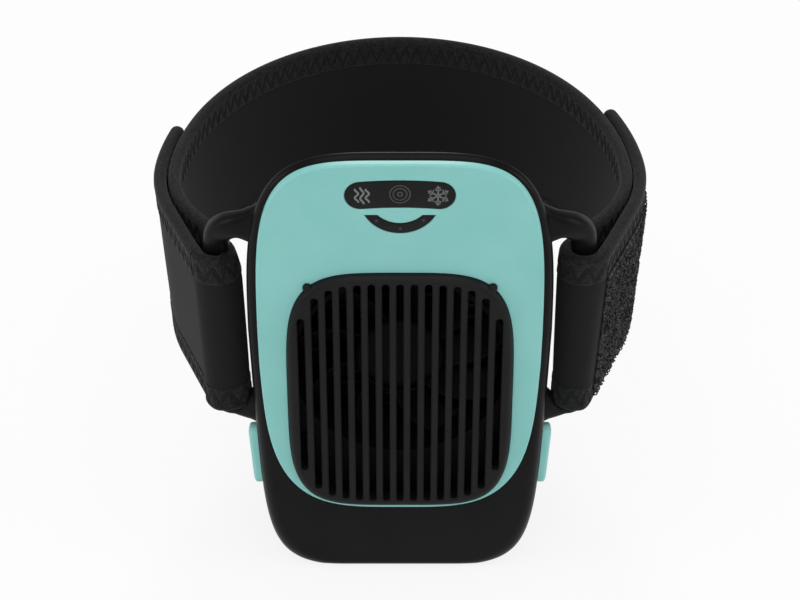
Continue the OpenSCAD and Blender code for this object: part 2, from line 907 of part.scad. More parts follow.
module vibration_motor() {
    color(metal)
        rod(0, low_boss_z + 3.5, 5, front_wall, front_wall + 2.8);
}

// ---------- side buttons ----------

module button() {
    color(teal)
    intersection() {
        union() {
            at_button(button_seat_x)
                button_shape(0);
            at_button(button_flange_x - button_flange_t / 2)
                rotate([0, 90, 0])
                    linear_extrude(button_flange_t, center = true)
                        stadium(2 * flange_half_h, button_w + 2);
        }
        at_button((button_face_x + button_flange_x - button_flange_t) / 2)
            cube([button_face_x - button_flange_x + button_flange_t, 2 * button_w, 2 * button_h],
                 center = true);
    }
}

module switch() {
    color("#c9c9c4")
        box(switch_top_x - switch_t, switch_top_x, button_depth - 2, button_depth + 2,
            button_z - 2.5, button_z + 2.5);
}

module switch_board() {
    color(board_green)
        box(switch_top_x - switch_t - switch_board_t, switch_top_x - switch_t,
            front_wall, button_depth + 3.5, button_z - 7, button_z + 7);
}

module left_side() {
    mirror([1, 0, 0])
        children();
}

// ---------- strap ----------
// A path is a list of [point, heading]. A positive offset lies on the left of the heading.

function unit(v) = v / norm(v);
function round_bar(turn) = bar + wrap_r * [cos(turn), sin(turn)];
function on_loop(extra, t) =
    [(loop_half + extra) * cos(t), loop_y + ((t > 0 ? loop_back : loop_front) + extra) * sin(t)];
function loop_heading(extra, t) =
    unit([-(loop_half + extra) * sin(t), ((t > 0 ? loop_back : loop_front) + extra) * cos(t)]);

// Direction from the bar's axis to where a line from point p touches the outside of the wrap.
function touch_turn(p) =
    atan2(p[1] - bar[1], p[0] - bar[0]) - acos(wrap_r / norm(p - bar));

fold_turn = touch_turn(on_loop(lay_gap, line_turn));
fold_point = round_bar(fold_turn);
fold_heading = [-sin(fold_turn), cos(fold_turn)];
leave_point = round_bar(slot_turn);
leave_heading = [sin(slot_turn), -cos(slot_turn)];
leave_pull = 16;
side_pull = 17;

function curve(p, t) =
    pow(1 - t, 3) * p[0] + 3 * t * pow(1 - t, 2) * p[1] + 3 * t * t * (1 - t) * p[2] + pow(t, 3) * p[3];
function curve_heading(p, t) =
    unit(pow(1 - t, 2) * (p[1] - p[0]) + 2 * t * (1 - t) * (p[2] - p[1]) + t * t * (p[3] - p[2]));

wrap_steps = 14;
wrap_sweep = fold_turn - (slot_turn - 360);
lead = [leave_point, leave_point + leave_pull * leave_heading,
        on_loop(0, 0) - [0, side_pull], on_loop(0, 0)];
right_half = concat(
    [for (i = [0:wrap_steps])
        let(turn = fold_turn - wrap_sweep * i / wrap_steps)
        [round_bar(turn), [sin(turn), -cos(turn)]]],
    [for (i = [1:7]) [curve(lead, i / 8), curve_heading(lead, i / 8)]],
    [for (t = [0:loop_step:90]) [on_loop(0, t), loop_heading(0, t)]]);
band_path = concat(
    right_half,
    [for (i = [len(right_half) - 2:-1:0])
        [[-right_half[i][0][0], right_half[i][0][1]], [right_half[i][1][0], -right_half[i][1][1]]]]);

function flap_path(end_angle) = concat(
    [[fold_point + joint_gap * fold_heading, fold_heading]],
    [for (t = [line_turn:loop_step:end_angle]) [on_loop(lay_gap, t), loop_heading(lay_gap, t)]]);

function path_length(path) =
    len(path) < 2 ? 0 : norm_sum([for (i = [1:len(path) - 1]) norm(path[i][0] - path[i - 1][0])], 0);
function norm_sum(v, i) = i < len(v) ? v[i] + norm_sum(v, i + 1) : 0;

function side_points(path, offset) =
    [for (s = path) s[0] + offset * [-s[1][1], s[1][0]]];

// A ribbon between two offsets from a path, standing from low to high.
module ribbon(path, from, to, low, high) {
    near = side_points(path, from);
    far = side_points(path, to);
    translate([0, 0, low])
        linear_extrude(high - low)
            polygon(concat(near, [for (i = [len(far) - 1:-1:0]) far[i]]));
}

module foam(path) {
    color("#2a2a2b")
        ribbon(path, -strap_t / 2, strap_t / 2, strap_low_z + tape_t, strap_low_z + strap_w - tape_t);
}

// A path whose two ends are drawn in along it.
function shorter(path, by) =
    let(last = len(path) - 1)
    [for (i = [0:last])
        [path[i][0] + by * (i == 0 ? 1 : i == last ? -1 : 0) * path[i][1], path[i][1]]];

// Tape folded over one edge of the strap, from its folded edge to the width it covers.
module edge_tape(path, edge_z, inward) {
    over = strap_t / 2 + tape_t;
    fold = edge_z + inward * tape_t;
    end = edge_z + inward * tape_w;
    color("#343436") {
        ribbon(path, -over, over, min(edge_z, fold), max(edge_z, fold));
        for (side = [-1, 1])
            ribbon(shorter(path, joint_gap), side * strap_t / 2, side * over,
                   min(edge_z, end), max(edge_z, end));
    }
}

module strap_band() { foam(band_path); }

module band_tape_upper() { edge_tape(band_path, strap_low_z + strap_w, -1); }

module band_tape_lower() { edge_tape(band_path, strap_low_z, 1); }

module flap_tape(end_angle) {
    edge_tape(flap_path(end_angle), strap_low_z + strap_w, -1);
    edge_tape(flap_path(end_angle), strap_low_z, 1);
}

// Hooks on the inside of a folded-back end, which grip the band behind it.
module hook_patch(end_angle) {
    color("#3b3b3d")
        ribbon([for (t = [line_turn + 15:loop_step:end_angle - 2])
                   [on_loop(lay_gap, t), loop_heading(lay_gap, t)]],
               strap_t / 2, strap_t / 2 + hook_t, patch_low_z, patch_low_z + patch_h);
}

module left_flap() { left_side() foam(flap_path(left_end_angle)); }

module left_flap_tape() { left_side() flap_tape(left_end_angle); }

module left_hook_patch() { left_side() hook_patch(left_end_angle); }

module right_flap() { foam(flap_path(right_end_angle)); }

module right_flap_tape() { flap_tape(right_end_angle); }

module right_hook_patch() { hook_patch(right_end_angle); }

module right_loop_patch() {
    color("#1f1f20")
        ribbon(flap_path(right_end_angle), -strap_t / 2 - pile_t, -strap_t / 2,
               patch_low_z, patch_low_z + patch_h);
}

echo(band_length = path_length(band_path));
echo(left_flap_length = path_length(flap_path(left_end_angle)));
echo(right_flap_length = path_length(flap_path(right_end_angle)));
echo(fold_corner = fold_point + (strap_t / 2 + tape_t) * [cos(fold_turn), sin(fold_turn)]);

main_case();
front_cover();
rear_cover();
grille();
display_window();
level_window();
light_guide();
control_board();
indicator_leds();
board_screws();
fan_baffle();
fan_frame();
fan_stator();
fan_rotor();
fan_screws();
heat_sink();
module_ceramics();
module_pellets();
thermistor();
contact_plate();
plate_gasket();
clamp_screws();
battery_pack();
battery_pad();
charge_board();
usb_socket();
vibration_motor();
case_screws();
left_side() button();  // left_button
button();  // right_button
left_side() switch();  // left_switch
switch();  // right_switch
left_side() switch_board();  // left_switch_board
switch_board();  // right_switch_board
strap_band();
band_tape_upper();
band_tape_lower();
left_flap();
left_flap_tape();
left_hook_patch();
right_flap();
right_flap_tape();
right_hook_patch();
right_loop_patch();
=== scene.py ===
# %% [markdown]
# # A wearable hot and cold therapy unit
# The unit cools or warms a limb through a metal plate on its back. A fan behind the slotted grille blows through
# a heat sink, and a neoprene strap holds the case on the limb.
# The construction comes in as a fixed frame of parts at their real size. This lesson builds the smooth shells,
# the strap and the finishes around that frame, one step to a cell.

# %% Load the frame
import math

import bmesh
import bpy
import numpy as np
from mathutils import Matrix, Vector


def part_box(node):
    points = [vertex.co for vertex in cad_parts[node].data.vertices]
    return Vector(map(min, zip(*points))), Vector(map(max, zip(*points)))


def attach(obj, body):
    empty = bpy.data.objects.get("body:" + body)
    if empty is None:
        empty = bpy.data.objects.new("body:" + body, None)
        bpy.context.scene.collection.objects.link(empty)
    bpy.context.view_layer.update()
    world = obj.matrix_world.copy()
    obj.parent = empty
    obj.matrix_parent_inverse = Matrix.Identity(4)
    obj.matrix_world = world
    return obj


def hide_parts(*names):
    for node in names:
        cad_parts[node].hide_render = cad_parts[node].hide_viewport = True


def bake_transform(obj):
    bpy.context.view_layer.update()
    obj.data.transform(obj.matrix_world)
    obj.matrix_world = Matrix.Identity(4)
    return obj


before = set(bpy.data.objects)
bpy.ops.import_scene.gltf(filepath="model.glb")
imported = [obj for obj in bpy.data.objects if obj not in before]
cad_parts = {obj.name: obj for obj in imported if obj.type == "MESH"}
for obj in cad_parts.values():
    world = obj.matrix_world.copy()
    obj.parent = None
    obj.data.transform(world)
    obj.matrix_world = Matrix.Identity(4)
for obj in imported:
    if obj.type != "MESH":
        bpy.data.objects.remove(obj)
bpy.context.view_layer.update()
MM = 0.001

# %% [markdown]
# ## Camera
# A product photograph like this is taken from some way off with a long lens, so that upright edges stay nearly
# parallel. The angle above the horizontal came from the strap's two edges and a round symbol on the case.
# The camera stands on the centre line and looks down at the middle of the front rim.

# %% Camera
PHOTO_W = 800
PHOTO_H = 600
CAMERA_FALL = math.radians(37.0)
CAMERA_REACH = 620 * MM
FOCAL_PX = 2360.0
TARGET = Vector((0, -14, 74.3)) * MM
TARGET_PX_Y = 356

forward = Vector((0, math.cos(CAMERA_FALL), -math.sin(CAMERA_FALL)))
lens_data = bpy.data.cameras.new("photo_camera")
lens_data.sensor_width = 36
lens_data.lens = FOCAL_PX * lens_data.sensor_width / PHOTO_W
lens_data.clip_start = 0.05
lens_data.clip_end = 20
camera = bpy.data.objects.new("photo_camera", lens_data)
camera.location = TARGET - CAMERA_REACH * forward
rise_of_aim = math.atan((TARGET_PX_Y - PHOTO_H / 2) / FOCAL_PX)
camera.rotation_euler = (math.pi / 2 - CAMERA_FALL + rise_of_aim, 0, 0)
bpy.context.scene.collection.objects.link(camera)
bpy.context.scene.camera = camera
print("camera at", [round(v / MM) for v in camera.location], "mm, lens", round(lens_data.lens, 1), "mm")

# %% [markdown]
# ## Building blocks
# Every new piece here is a surface worked out as arrays of points in millimetres: a grid of rings, or a
# section carried along a path. A few helpers turn such a grid into a mesh, close it, and let it ride on a body
# of the frame. Working in whole arrays keeps each shape a formula that can be read and changed.

# %% Grids and meshes
def box_mm(node):
    """The lowest and highest corner of a part of the frame, in millimetres."""
    low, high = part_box(node)
    return np.array(low) / MM, np.array(high) / MM


def grid_faces(rows, cols, hoop=False):
    """Quads between neighbouring rings of points. hoop joins the last ring to the first."""
    r, c = np.meshgrid(np.arange(rows if hoop else rows - 1), np.arange(cols), indexing="ij")
    r, c = r.ravel(), c.ravel()
    r_next, c_next = (r + 1) % rows, (c + 1) % cols
    return np.stack([r * cols + c, r * cols + c_next, r_next * cols + c_next, r_next * cols + c], axis=1)


def loft(rings, hoop=False):
    """Points and faces of a closed surface through rings of equally many points, capped unless it is a hoop."""
    rings = np.asarray(rings, float)
    count, around = rings.shape[:2]
    faces = grid_faces(count, around, hoop).tolist()
    if not hoop:
        faces.append(list(range(around))[::-1])
        faces.append([(count - 1) * around + i for i in range(around)])
    return rings.reshape(-1, 3), faces


def joined(parts):
    """One list of points and faces from several."""
    points, faces, start = [], [], 0
    for some_points, some_faces in parts:
        points.append(some_points)
        faces.extend([[i + start for i in face] for face in some_faces])
        start += len(some_points)
    return np.concatenate(points), faces


def new_object(name, points, faces, smooth_to=32, lay=None):
    """A mesh object from points in millimetres, with its doubles merged and its faces turned outwards. lay gives
    each point its place on the flat cloth, also in millimetres, for a weave to follow."""
    mesh = bpy.data.meshes.new(name)
    mesh.from_pydata((np.asarray(points) * MM).tolist(), [], [list(map(int, face)) for face in faces])
    if lay is not None:
        mesh.attributes.new("lay", "FLOAT_VECTOR", "POINT").data.foreach_set("vector", (lay * MM).ravel())
    work = bmesh.new()
    work.from_mesh(mesh)
    bmesh.ops.remove_doubles(work, verts=work.verts, dist=1e-7)
    bmesh.ops.recalc_face_normals(work, faces=work.faces)
    work.to_mesh(mesh)
    work.free()
    shade(mesh, smooth_to)
    made = bpy.data.objects.new(name, mesh)
    bpy.context.scene.collection.objects.link(made)
    return made


def shade(mesh, smooth_to):
    """Smooth shading, broken at edges that turn by more than smooth_to degrees."""
    mesh.polygons.foreach_set("use_smooth", np.ones(len(mesh.polygons), bool))
    mesh.set_sharp_from_angle(angle=math.radians(smooth_to))


def carve(target, cutters, smooth_to=32):
    """Cuts the solids in cutters, each as points and faces, out of a piece, and keeps the result as its mesh."""
    tool = new_object("cutter", *joined(cutters))
    cut = target.modifiers.new("cut", "BOOLEAN")
    cut.operation = "DIFFERENCE"
    cut.solver = "EXACT"
    cut.object = tool
    result = bpy.data.meshes.new_from_object(target.evaluated_get(bpy.context.evaluated_depsgraph_get()))
    target.modifiers.clear()
    target.data = result
    bpy.data.objects.remove(tool)
    shade(result, smooth_to)


def settle(piece, material, body, slot, *nodes):
    """Gives a piece its material and body, and names the parts of the frame that it stands for. Its slot argument
    is not used.
    """
    piece.data.materials.clear()
    piece.data.materials.append(material)
    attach(piece, body)
    if nodes:
        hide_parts(*nodes)
    print(f"{piece.name}: {len(piece.data.polygons)} faces, stands for {', '.join(nodes) or 'no part'}")


# %% [markdown]
# ## Materials
# Colours are written as sRGB hex values, matched to the photograph's tones, and turned to linear light by one
# function. One more function adds a shader node with its settings and links. Patterns have real sizes: a scale
# is one divided by the size of the texture's grain in metres. The finest are drawn coarser than they are, so
# that the render shows them.

# %% Colour and node helpers
def linear(hex_colour, alpha=1.0):
    """An sRGB hex colour as linear red, green and blue, by the standard's two-part curve."""
    parts = [int(hex_colour[i:i + 2], 16) / 255 for i in (1, 3, 5)]
    return [p / 12.92 if p <= 0.04045 else ((p + 0.055) / 1.055) ** 2.4 for p in parts] + [alpha]


def add(material, kind, inputs=None, **settings):
    """Adds one node. settings are its properties, and inputs are values for its sockets or sockets to link."""
    tree = material.node_tree
    made = tree.nodes.new(kind)
    for key, value in settings.items():
        setattr(made, key, value)
    for key, value in (inputs or {}).items():
        if isinstance(value, bpy.types.NodeSocket):
            tree.links.new(value, made.inputs[key])
        else:
            made.inputs[key].default_value = value
    return made


def new_material(name, colour, roughness, **shader_values):
    """A material with one Principled shader and an Object coordinate to hang its patterns on."""
    material = bpy.data.materials.new(name)
    material.use_nodes = True
    material.node_tree.nodes.clear()
    values = {"Base Color": linear(colour), "Roughness": roughness}
    values.update({key.replace("_", " "): value for key, value in shader_values.items()})
    shader = add(material, "ShaderNodeBsdfPrincipled", values)
    add(material, "ShaderNodeOutputMaterial", {"Surface": shader.outputs["BSDF"]})
    place = add(material, "ShaderNodeTexCoord")
    return material, shader, place


def tint(material, shader, fac, dark, light, low=0.35, high=0.65):
    """Colours the shader between two hex values as fac goes from low to high."""
    ramp = add(material, "ShaderNodeValToRGB", {"Fac": fac})
    for element, at, colour in zip(ramp.color_ramp.elements, (low, high), (dark, light)):
        element.position = at
        element.color = linear(colour)
    material.node_tree.links.new(ramp.outputs["Color"], shader.inputs["Base Color"])


def emboss(material, shader, height, depth_mm, strength=1.0):
    """Bumps the surface by a height from 0 to 1 that stands for depth_mm."""
    bump = add(material, "ShaderNodeBump", {"Height": height, "Distance": depth_mm * MM, "Strength": strength})
    material.node_tree.links.new(bump.outputs["Normal"], shader.inputs["Normal"])


def vary(material, shader, fac, low, high):
    """Lets the roughness run from low to high with fac."""
    span = add(material, "ShaderNodeMapRange", {"Value": fac, "To Min": low, "To Max": high})
    material.node_tree.links.new(span.outputs["Result"], shader.inputs["Roughness"])


# %% [markdown]
# ### Moulded plastic
# The cover, the case and the buttons are injection moulded ABS. The mould's steel is spark eroded, which leaves a
# fine pebble grain. It spreads the highlight into a soft sheen and gives the flat faces a little life. The grain
# is about a tenth of a millimetre wide, and it is drawn at a third of a millimetre so that it shows.

# %% Moulded ABS
CLOUD_MM = 18


def moulded_abs(name, dark, light, roughness, grain_mm=0.33, depth_mm=0.006, specular=0.5):
    """Two noises: a wide one shifts the colour a little, and a fine one is the pebble grain."""
    material, shader, place = new_material(name, light, roughness, Specular_IOR_Level=specular, IOR=1.53)
    cloud = add(material, "ShaderNodeTexNoise",
                {"Vector": place.outputs["Object"], "Scale": 1 / (CLOUD_MM * MM), "Detail": 3})
    grain = add(material, "ShaderNodeTexNoise",
                {"Vector": place.outputs["Object"], "Scale": 1 / (grain_mm * MM), "Detail": 2})
    tint(material, shader, cloud.outputs["Fac"], dark, light)
    vary(material, shader, grain.outputs["Fac"], roughness - 0.06, roughness + 0.06)
    emboss(material, shader, grain.outputs["Fac"], depth_mm)
    return material


teal_abs = moulded_abs("teal_moulded_abs", "#82c5c0", "#88c9c4", 0.42, specular=0.35)
black_abs = moulded_abs("black_moulded_abs", "#0f0f10", "#131314", 0.32, specular=0.08)
grille_abs = moulded_abs("charcoal_grille_abs", "#171718", "#1b1b1c", 0.44, specular=0.1)
inner_abs = moulded_abs("inner_black_abs", "#131314", "#181819", 0.6, grain_mm=0.5, depth_mm=0.01, specular=0.1)
fan_pbt = moulded_abs("fan_black_pbt", "#0c0c0d", "#101011", 0.5, specular=0.1)
switch_nylon = moulded_abs("switch_grey_nylon", "#b9b9b3", "#c6c6c0", 0.5)
print("moulded plastics made")

# %% [markdown]
# ### Window acrylic and printed symbols
# The two windows are smoked acrylic, polished in the mould, so they mirror the studio faintly. The symbols are a
# thin grey print on the face, and the small lamp holes show a deep red.

# %% Acrylic, print and lamps
SMEAR_MM = 6


def polished(name, colour, haze, roughness, **shader_values):
    """One noise as wide as a finger's smear moves both the colour and the roughness."""
    material, shader, place = new_material(name, colour, roughness, **shader_values)
    smear = add(material, "ShaderNodeTexNoise",
                {"Vector": place.outputs["Object"], "Scale": 1 / (SMEAR_MM * MM), "Detail": 4})
    tint(material, shader, smear.outputs["Fac"], colour, haze)
    vary(material, shader, smear.outputs["Fac"], roughness, roughness + 0.08)
    return material


smoked_acrylic = polished("smoked_acrylic", "#131314", "#171718", 0.2, IOR=1.49, Specular_IOR_Level=0.14)
symbol_print = polished("grey_symbol_print", "#6a6c6e", "#747678", 0.55)
faint_print = polished("faint_symbol_print", "#38393a", "#404142", 0.55)
lamp_red = polished("dark_red_lamp", "#2c0c0e", "#341012", 0.3)
lamp_clear = polished("clear_lamp_potting", "#dcdcd4", "#e8e8e0", 0.25)
alumina = polished("white_alumina", "#e2e1dc", "#ecebe6", 0.5)
shrink_film = polished("blue_shrink_film", "#33507c", "#3f5d8a", 0.3)
print("polished materials made")

# %% [markdown]
# ### Metals, boards and rubber
# The contact plate is aluminium, bead blasted and clear anodised, so it is grey and even with a fine sparkle.
# Screws and the socket are plated steel, and only the fan's screws are blackened. The heat sink is extruded
# aluminium, anodised black, with faint lines along it.

# %% Metals, boards and rubber
def metal(name, dark, light, roughness, grain_mm, depth_mm, stretch=(1, 1, 1)):
    """One noise for the grain. A stretch under 1 along an axis draws it out into lines along that axis."""
    material, shader, place = new_material(name, light, roughness, Metallic=1.0)
    turned = add(material, "ShaderNodeMapping", {"Vector": place.outputs["Object"], "Scale": stretch})
    grain = add(material, "ShaderNodeTexNoise",
                {"Vector": turned.outputs["Vector"], "Scale": 1 / (grain_mm * MM), "Detail": 3})
    tint(material, shader, grain.outputs["Fac"], dark, light)
    vary(material, shader, grain.outputs["Fac"], roughness - 0.05, roughness + 0.08)
    emboss(material, shader, grain.outputs["Fac"], depth_mm)
    return material


def speckled(name, dark, light, roughness, grain_mm, depth_mm):
    """Small cells, dark in their middles and light where they meet."""
    material, shader, place = new_material(name, light, roughness)
    cells = add(material, "ShaderNodeTexVoronoi",
                {"Vector": place.outputs["Object"], "Scale": 1 / (grain_mm * MM)})
    tint(material, shader, cells.outputs["Distance"], dark, light, 0.1, 0.8)
    emboss(material, shader, cells.outputs["Distance"], depth_mm)
    return material


blasted_aluminium = metal("bead_blasted_aluminium", "#b4b7ba", "#c6c9cb", 0.42, 0.25, 0.008)
anodised_aluminium = metal("black_anodised_aluminium", "#19191b", "#242426", 0.5, 0.3, 0.006, (0.05, 1, 1))
plated_steel = metal("plated_steel", "#8d8f92", "#a4a6a9", 0.3, 0.4, 0.004)
black_steel = metal("black_oxide_steel", "#161617", "#1f1f21", 0.45, 0.4, 0.004)
copper_winding = metal("enamelled_copper", "#8a4f27", "#b06a3a", 0.35, 0.5, 0.02, (1, 1, 0.1))
bismuth_pellet = metal("cut_bismuth_alloy", "#77797d", "#8f9195", 0.5, 0.3, 0.01)
solder_mask = speckled("green_solder_mask", "#235538", "#2f6b45", 0.4, 0.9, 0.01)
foam_rubber = speckled("grey_foam_rubber", "#303032", "#3c3c3e", 0.9, 0.5, 0.05)
print("metals, boards and rubber made")

# %% [markdown]
# ### Cloth
# The strap is neoprene foam faced with nylon jersey, which is matt and almost smooth. Knitted tape binds its two
# edges: its loops show as a fine grain, drawn 0.7 mm apart. The patterns read each point's place on the flat
# cloth, so that they bend with it. Sheen lifts the edges that turn away, as short fibres do.

# %% Cloth
def cloth(name, dark, light, roughness, loop_mm, depth_mm, jumble=0.3, sheen=0.15):
    """A knit: each cell of a nearly regular grid is one loop, light in its middle and dark at its edge."""
    material, shader, _ = new_material(name, light, roughness, Specular_IOR_Level=0.1, Sheen_Weight=sheen,
                                       Sheen_Roughness=0.5)
    place = add(material, "ShaderNodeAttribute", attribute_name="lay")
    cells = add(material, "ShaderNodeTexVoronoi", {"Vector": place.outputs["Vector"], "Scale": 1 / (loop_mm * MM),
                                                   "Randomness": jumble})
    tint(material, shader, cells.outputs["Distance"], light, dark, 0.1, 0.75)
    emboss(material, shader, cells.outputs["Distance"], -depth_mm)
    return material


neoprene_jersey = cloth("black_neoprene_jersey", "#171718", "#1c1c1d", 0.8, 0.5, 0.01, sheen=0.05)
knit_tape = cloth("black_knitted_tape", "#161617", "#292a2a", 0.85, 0.7, 0.04, jumble=0.8, sheen=0.08)
sewing_thread = cloth("black_polyester_thread", "#0a0a0b", "#121213", 0.6, 0.4, 0.02)
loop_pile = cloth("black_nylon_loops", "#09090a", "#48484b", 0.6, 1.3, 0.1, jumble=1.0)
hook_nylon = cloth("black_nylon_hooks", "#19191a", "#232324", 0.6, 0.7, 0.05)
print("cloths made")

# %% [markdown]
# ### Finishes for the parts that stay as they are
# The pieces inside the case, and some small outer ones, already have the right shape. They keep it and only get
# a finish here.

# %% Finishes for the frame's own parts
FINISHES = {
    inner_abs: ["light_guide", "fan_baffle", "fan_frame", "thermistor"],
    solder_mask: ["control_board", "charge_board", "left_switch_board", "right_switch_board"],
    lamp_clear: ["indicator_leds"],
    plated_steel: ["board_screws", "clamp_screws", "usb_socket", "vibration_motor"],
    black_steel: ["fan_screws"],
    copper_winding: ["fan_stator"],
    anodised_aluminium: ["heat_sink"],
    alumina: ["module_ceramics"],
    bismuth_pellet: ["module_pellets"],
    foam_rubber: ["plate_gasket", "battery_pad"],
    shrink_film: ["battery_pack"],
    switch_nylon: ["left_switch", "right_switch"],
}
for material, nodes in FINISHES.items():
    for name in nodes:
        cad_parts[name].data.materials.clear()
        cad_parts[name].data.materials.append(material)
print(sum(map(len, FINISHES.values())), "parts finished as they are")

# %% [markdown]
# ## Outlines
# The case, the cover and the grille all have the same kind of outline: a superellipse, whose corners get squarer
# as its power rises, with its own power for the upper and the lower half. One function draws them all, and a
# few measured sizes drive it.

# %% Sizes and outlines
RIM_Y = box_mm("front_cover")[1][1]
CASE_TOP = box_mm("main_case")[1][2]
WAIST_Z = 76.3
CASE_HALF = 39.8
CASE_UP = CASE_TOP - WAIST_Z
BASE_CUT = 0.4
RIM_DEPTH = 2.6
SPLIT_DEPTH = 16.0
CASE_DEPTH = box_mm("rear_cover")[1][1] - RIM_Y
SIDE_SLOPE = 0.15
TOP_SLOPE = 0.8
WALL = 1.8
AROUND = 384
# power of the upper half, power of the lower half, narrowing of the lower half
CASE_SHAPE = (3.9, 6.5, 0.07)
COVER_SHAPE = (4.4, 3.7, 0.06)
GRILLE_SHAPE = (4.1, 4.4)


def outline(half_w, up, down, up_power, down_power, narrow=0.0, count=AROUND):
    """A superellipse: x is half_w times cos t, z is up or down times sin t, each raised to 2 / power and keeping
    its sign. narrow draws the lower half in towards its foot."""
    t = 2 * np.pi * (np.arange(count) + 0.5) / count
    cos, sin = np.cos(t), np.sin(t)
    power = np.where(sin > 0, 2 / up_power, 2 / down_power)
    z = np.where(sin > 0, up, down) * np.sign(sin) * np.abs(sin) ** power
    x = half_w * np.sign(cos) * np.abs(cos) ** power
    return x * (1 - narrow * np.maximum(0, -z) / down), z


def at_depth(x, z, depth):
    """The points of an outline in x and z, all at one depth behind the front rim."""
    return np.stack([x, np.full_like(x, RIM_Y + depth), z], axis=1)


def smooth_step(share):
    """Three times the square of a share from 0 to 1, less twice its cube: an even rise with soft ends."""
    return share ** 2 * (3 - 2 * share)


def case_ring(depth, inset):
    """The case's outline at a depth behind the front rim, drawn in by inset and cut flat at the base."""
    back = max(0.0, depth - RIM_DEPTH)
    inset = np.asarray(inset)
    x, z = outline(CASE_HALF - inset - SIDE_SLOPE * back, CASE_UP - inset - TOP_SLOPE * back,
                   WAIST_Z + BASE_CUT - inset, *CASE_SHAPE)
    return at_depth(x, np.maximum(z + WAIST_Z, inset), depth)


def round_edge(radius, steps=8):
    """Steps round a quarter circle as pairs of depth and inset, from the face out to the side."""
    a = np.linspace(0, np.pi / 2, steps + 1)
    return np.stack([radius * (1 - np.cos(a)), radius * (1 - np.sin(a))], axis=1)


print("case", 2 * CASE_HALF, "by", round(CASE_TOP, 1), "by", round(CASE_DEPTH, 1), "mm")

# %% [markdown]
# ## Front cover
# The teal cover is a shallow tray that snaps on to the case. Its straight side shows as a narrow bright band along
# the top, and a crisp edge divides it from the flat face. The shell is one hoop of rings that runs from the
# grille's hole out over the face, down the side and back inside, so only the two windows have to be cut.

# %% Cover and grille outlines
cover_low, cover_high = box_mm("front_cover")
COVER_HALF = cover_high[0]
COVER_UP = cover_high[2] - WAIST_Z
COVER_DOWN = WAIST_Z - cover_low[2]
COVER_RISE = RIM_Y - cover_low[1]
COVER_WALL = 0.8
COVER_EDGE_R = 0.6
GRILLE_LIP = 0.4
grille_low, grille_high = box_mm("grille")
GRILLE_HALF = grille_high[0] - GRILLE_LIP
GRILLE_UP = (grille_high[2] - grille_low[2]) / 2 - GRILLE_LIP
GRILLE_Z = (grille_high[2] + grille_low[2]) / 2
GRILLE_FRONT = grille_low[1] - RIM_Y


def cover_ring(depth, inset):
    """The cover's outline at a depth behind the front rim, drawn in by inset."""
    x, z = outline(COVER_HALF - inset, COVER_UP - inset, COVER_DOWN - inset, *COVER_SHAPE)
    return at_depth(x, z + WAIST_Z, depth)


def grille_ring(depth, inset):
    """The grille's outline at a depth behind the front rim, drawn in by inset."""
    x, z = outline(GRILLE_HALF - inset, GRILLE_UP - inset, GRILLE_UP - inset, *GRILLE_SHAPE)
    return at_depth(x, z + GRILLE_Z, depth)


print("cover", round(2 * COVER_HALF, 1), "mm wide, grille", round(2 * GRILLE_HALF, 1), "mm wide")

# %% [markdown]
# The mode window is a band of a shallow arc with round ends. The level window is the crescent between two
# circles, cut level along its top. Both outlines are worked out from their circles, with an amount to grow by,
# so the same function gives the hole, the lens and the rounded lip between them.

# %% Window outlines
PILL_Z = CASE_TOP - 9.7
PILL_HALF_W = 13.9
PILL_HALF_H = 4.0
PILL_ARCH_R = 110.0
SMILE_Z = CASE_TOP - 16.0
SMILE_OUT_R = 10.0
SMILE_IN_R = 7.9
SMILE_SAG = 5.4
SMILE_IN_SAG = 2.4


def pill_outline(grow, count=48):
    """Top arc, right end, bottom arc and left end of the mode window, grown by grow all round."""
    swing = math.asin((PILL_HALF_W - PILL_HALF_H) / PILL_ARCH_R)
    half = PILL_HALF_H + grow
    along = np.linspace(-swing, swing, count)
    turn = np.linspace(0, np.pi, count // 2)[1:-1]
    rows = [np.stack([(PILL_ARCH_R + half) * np.sin(along), (PILL_ARCH_R + half) * np.cos(along)], 1)]
    end = PILL_ARCH_R * np.array([math.sin(swing), math.cos(swing)])
    rows.append(end + half * np.stack([np.sin(swing + turn), np.cos(swing + turn)], 1))
    rows.append(np.stack([(PILL_ARCH_R - half) * np.sin(-along), (PILL_ARCH_R - half) * np.cos(along)], 1))
    end = PILL_ARCH_R * np.array([-math.sin(swing), math.cos(swing)])
    rows.append(end - half * np.stack([np.sin(turn - swing), np.cos(turn - swing)], 1))
    x, z = np.concatenate(rows).T
    return x, z + PILL_Z - PILL_ARCH_R


def smile_outline(grow, count=48):
    """Outer arc from the left tip to the right, level cut, inner arc back, and level cut again."""
    outer_c, inner_c = SMILE_OUT_R - SMILE_SAG, SMILE_IN_R - SMILE_IN_SAG
    outer = math.acos((outer_c - grow) / (SMILE_OUT_R + grow))
    inner = math.acos((inner_c - grow) / (SMILE_IN_R - grow))
    a = np.linspace(-outer, outer, count)
    b = np.linspace(inner, -inner, count)
    x = np.concatenate([(SMILE_OUT_R + grow) * np.sin(a), (SMILE_IN_R - grow) * np.sin(b)])
    z = np.concatenate([outer_c - (SMILE_OUT_R + grow) * np.cos(a), inner_c - (SMILE_IN_R - grow) * np.cos(b)])
    return x, z + SMILE_Z


def window_solid(shape, profile):
    """A solid through a window outline at each pair of depth and growth in profile."""
    return loft([at_depth(*shape(grow), depth) for depth, grow in profile])


FACE = -COVER_RISE
LIP_R = 0.25
LIP_GAP = 0.05
lip = [(FACE - 1, LIP_R + LIP_GAP), (FACE, LIP_R + LIP_GAP)]
lip += [(FACE + LIP_R * math.sin(a), LIP_GAP + LIP_R * (1 - math.sin(a))) for a in (0.4, 0.8, 1.2, math.pi / 2)]
lip += [(1.0, LIP_GAP)]
print("window lips of", LIP_R, "mm")

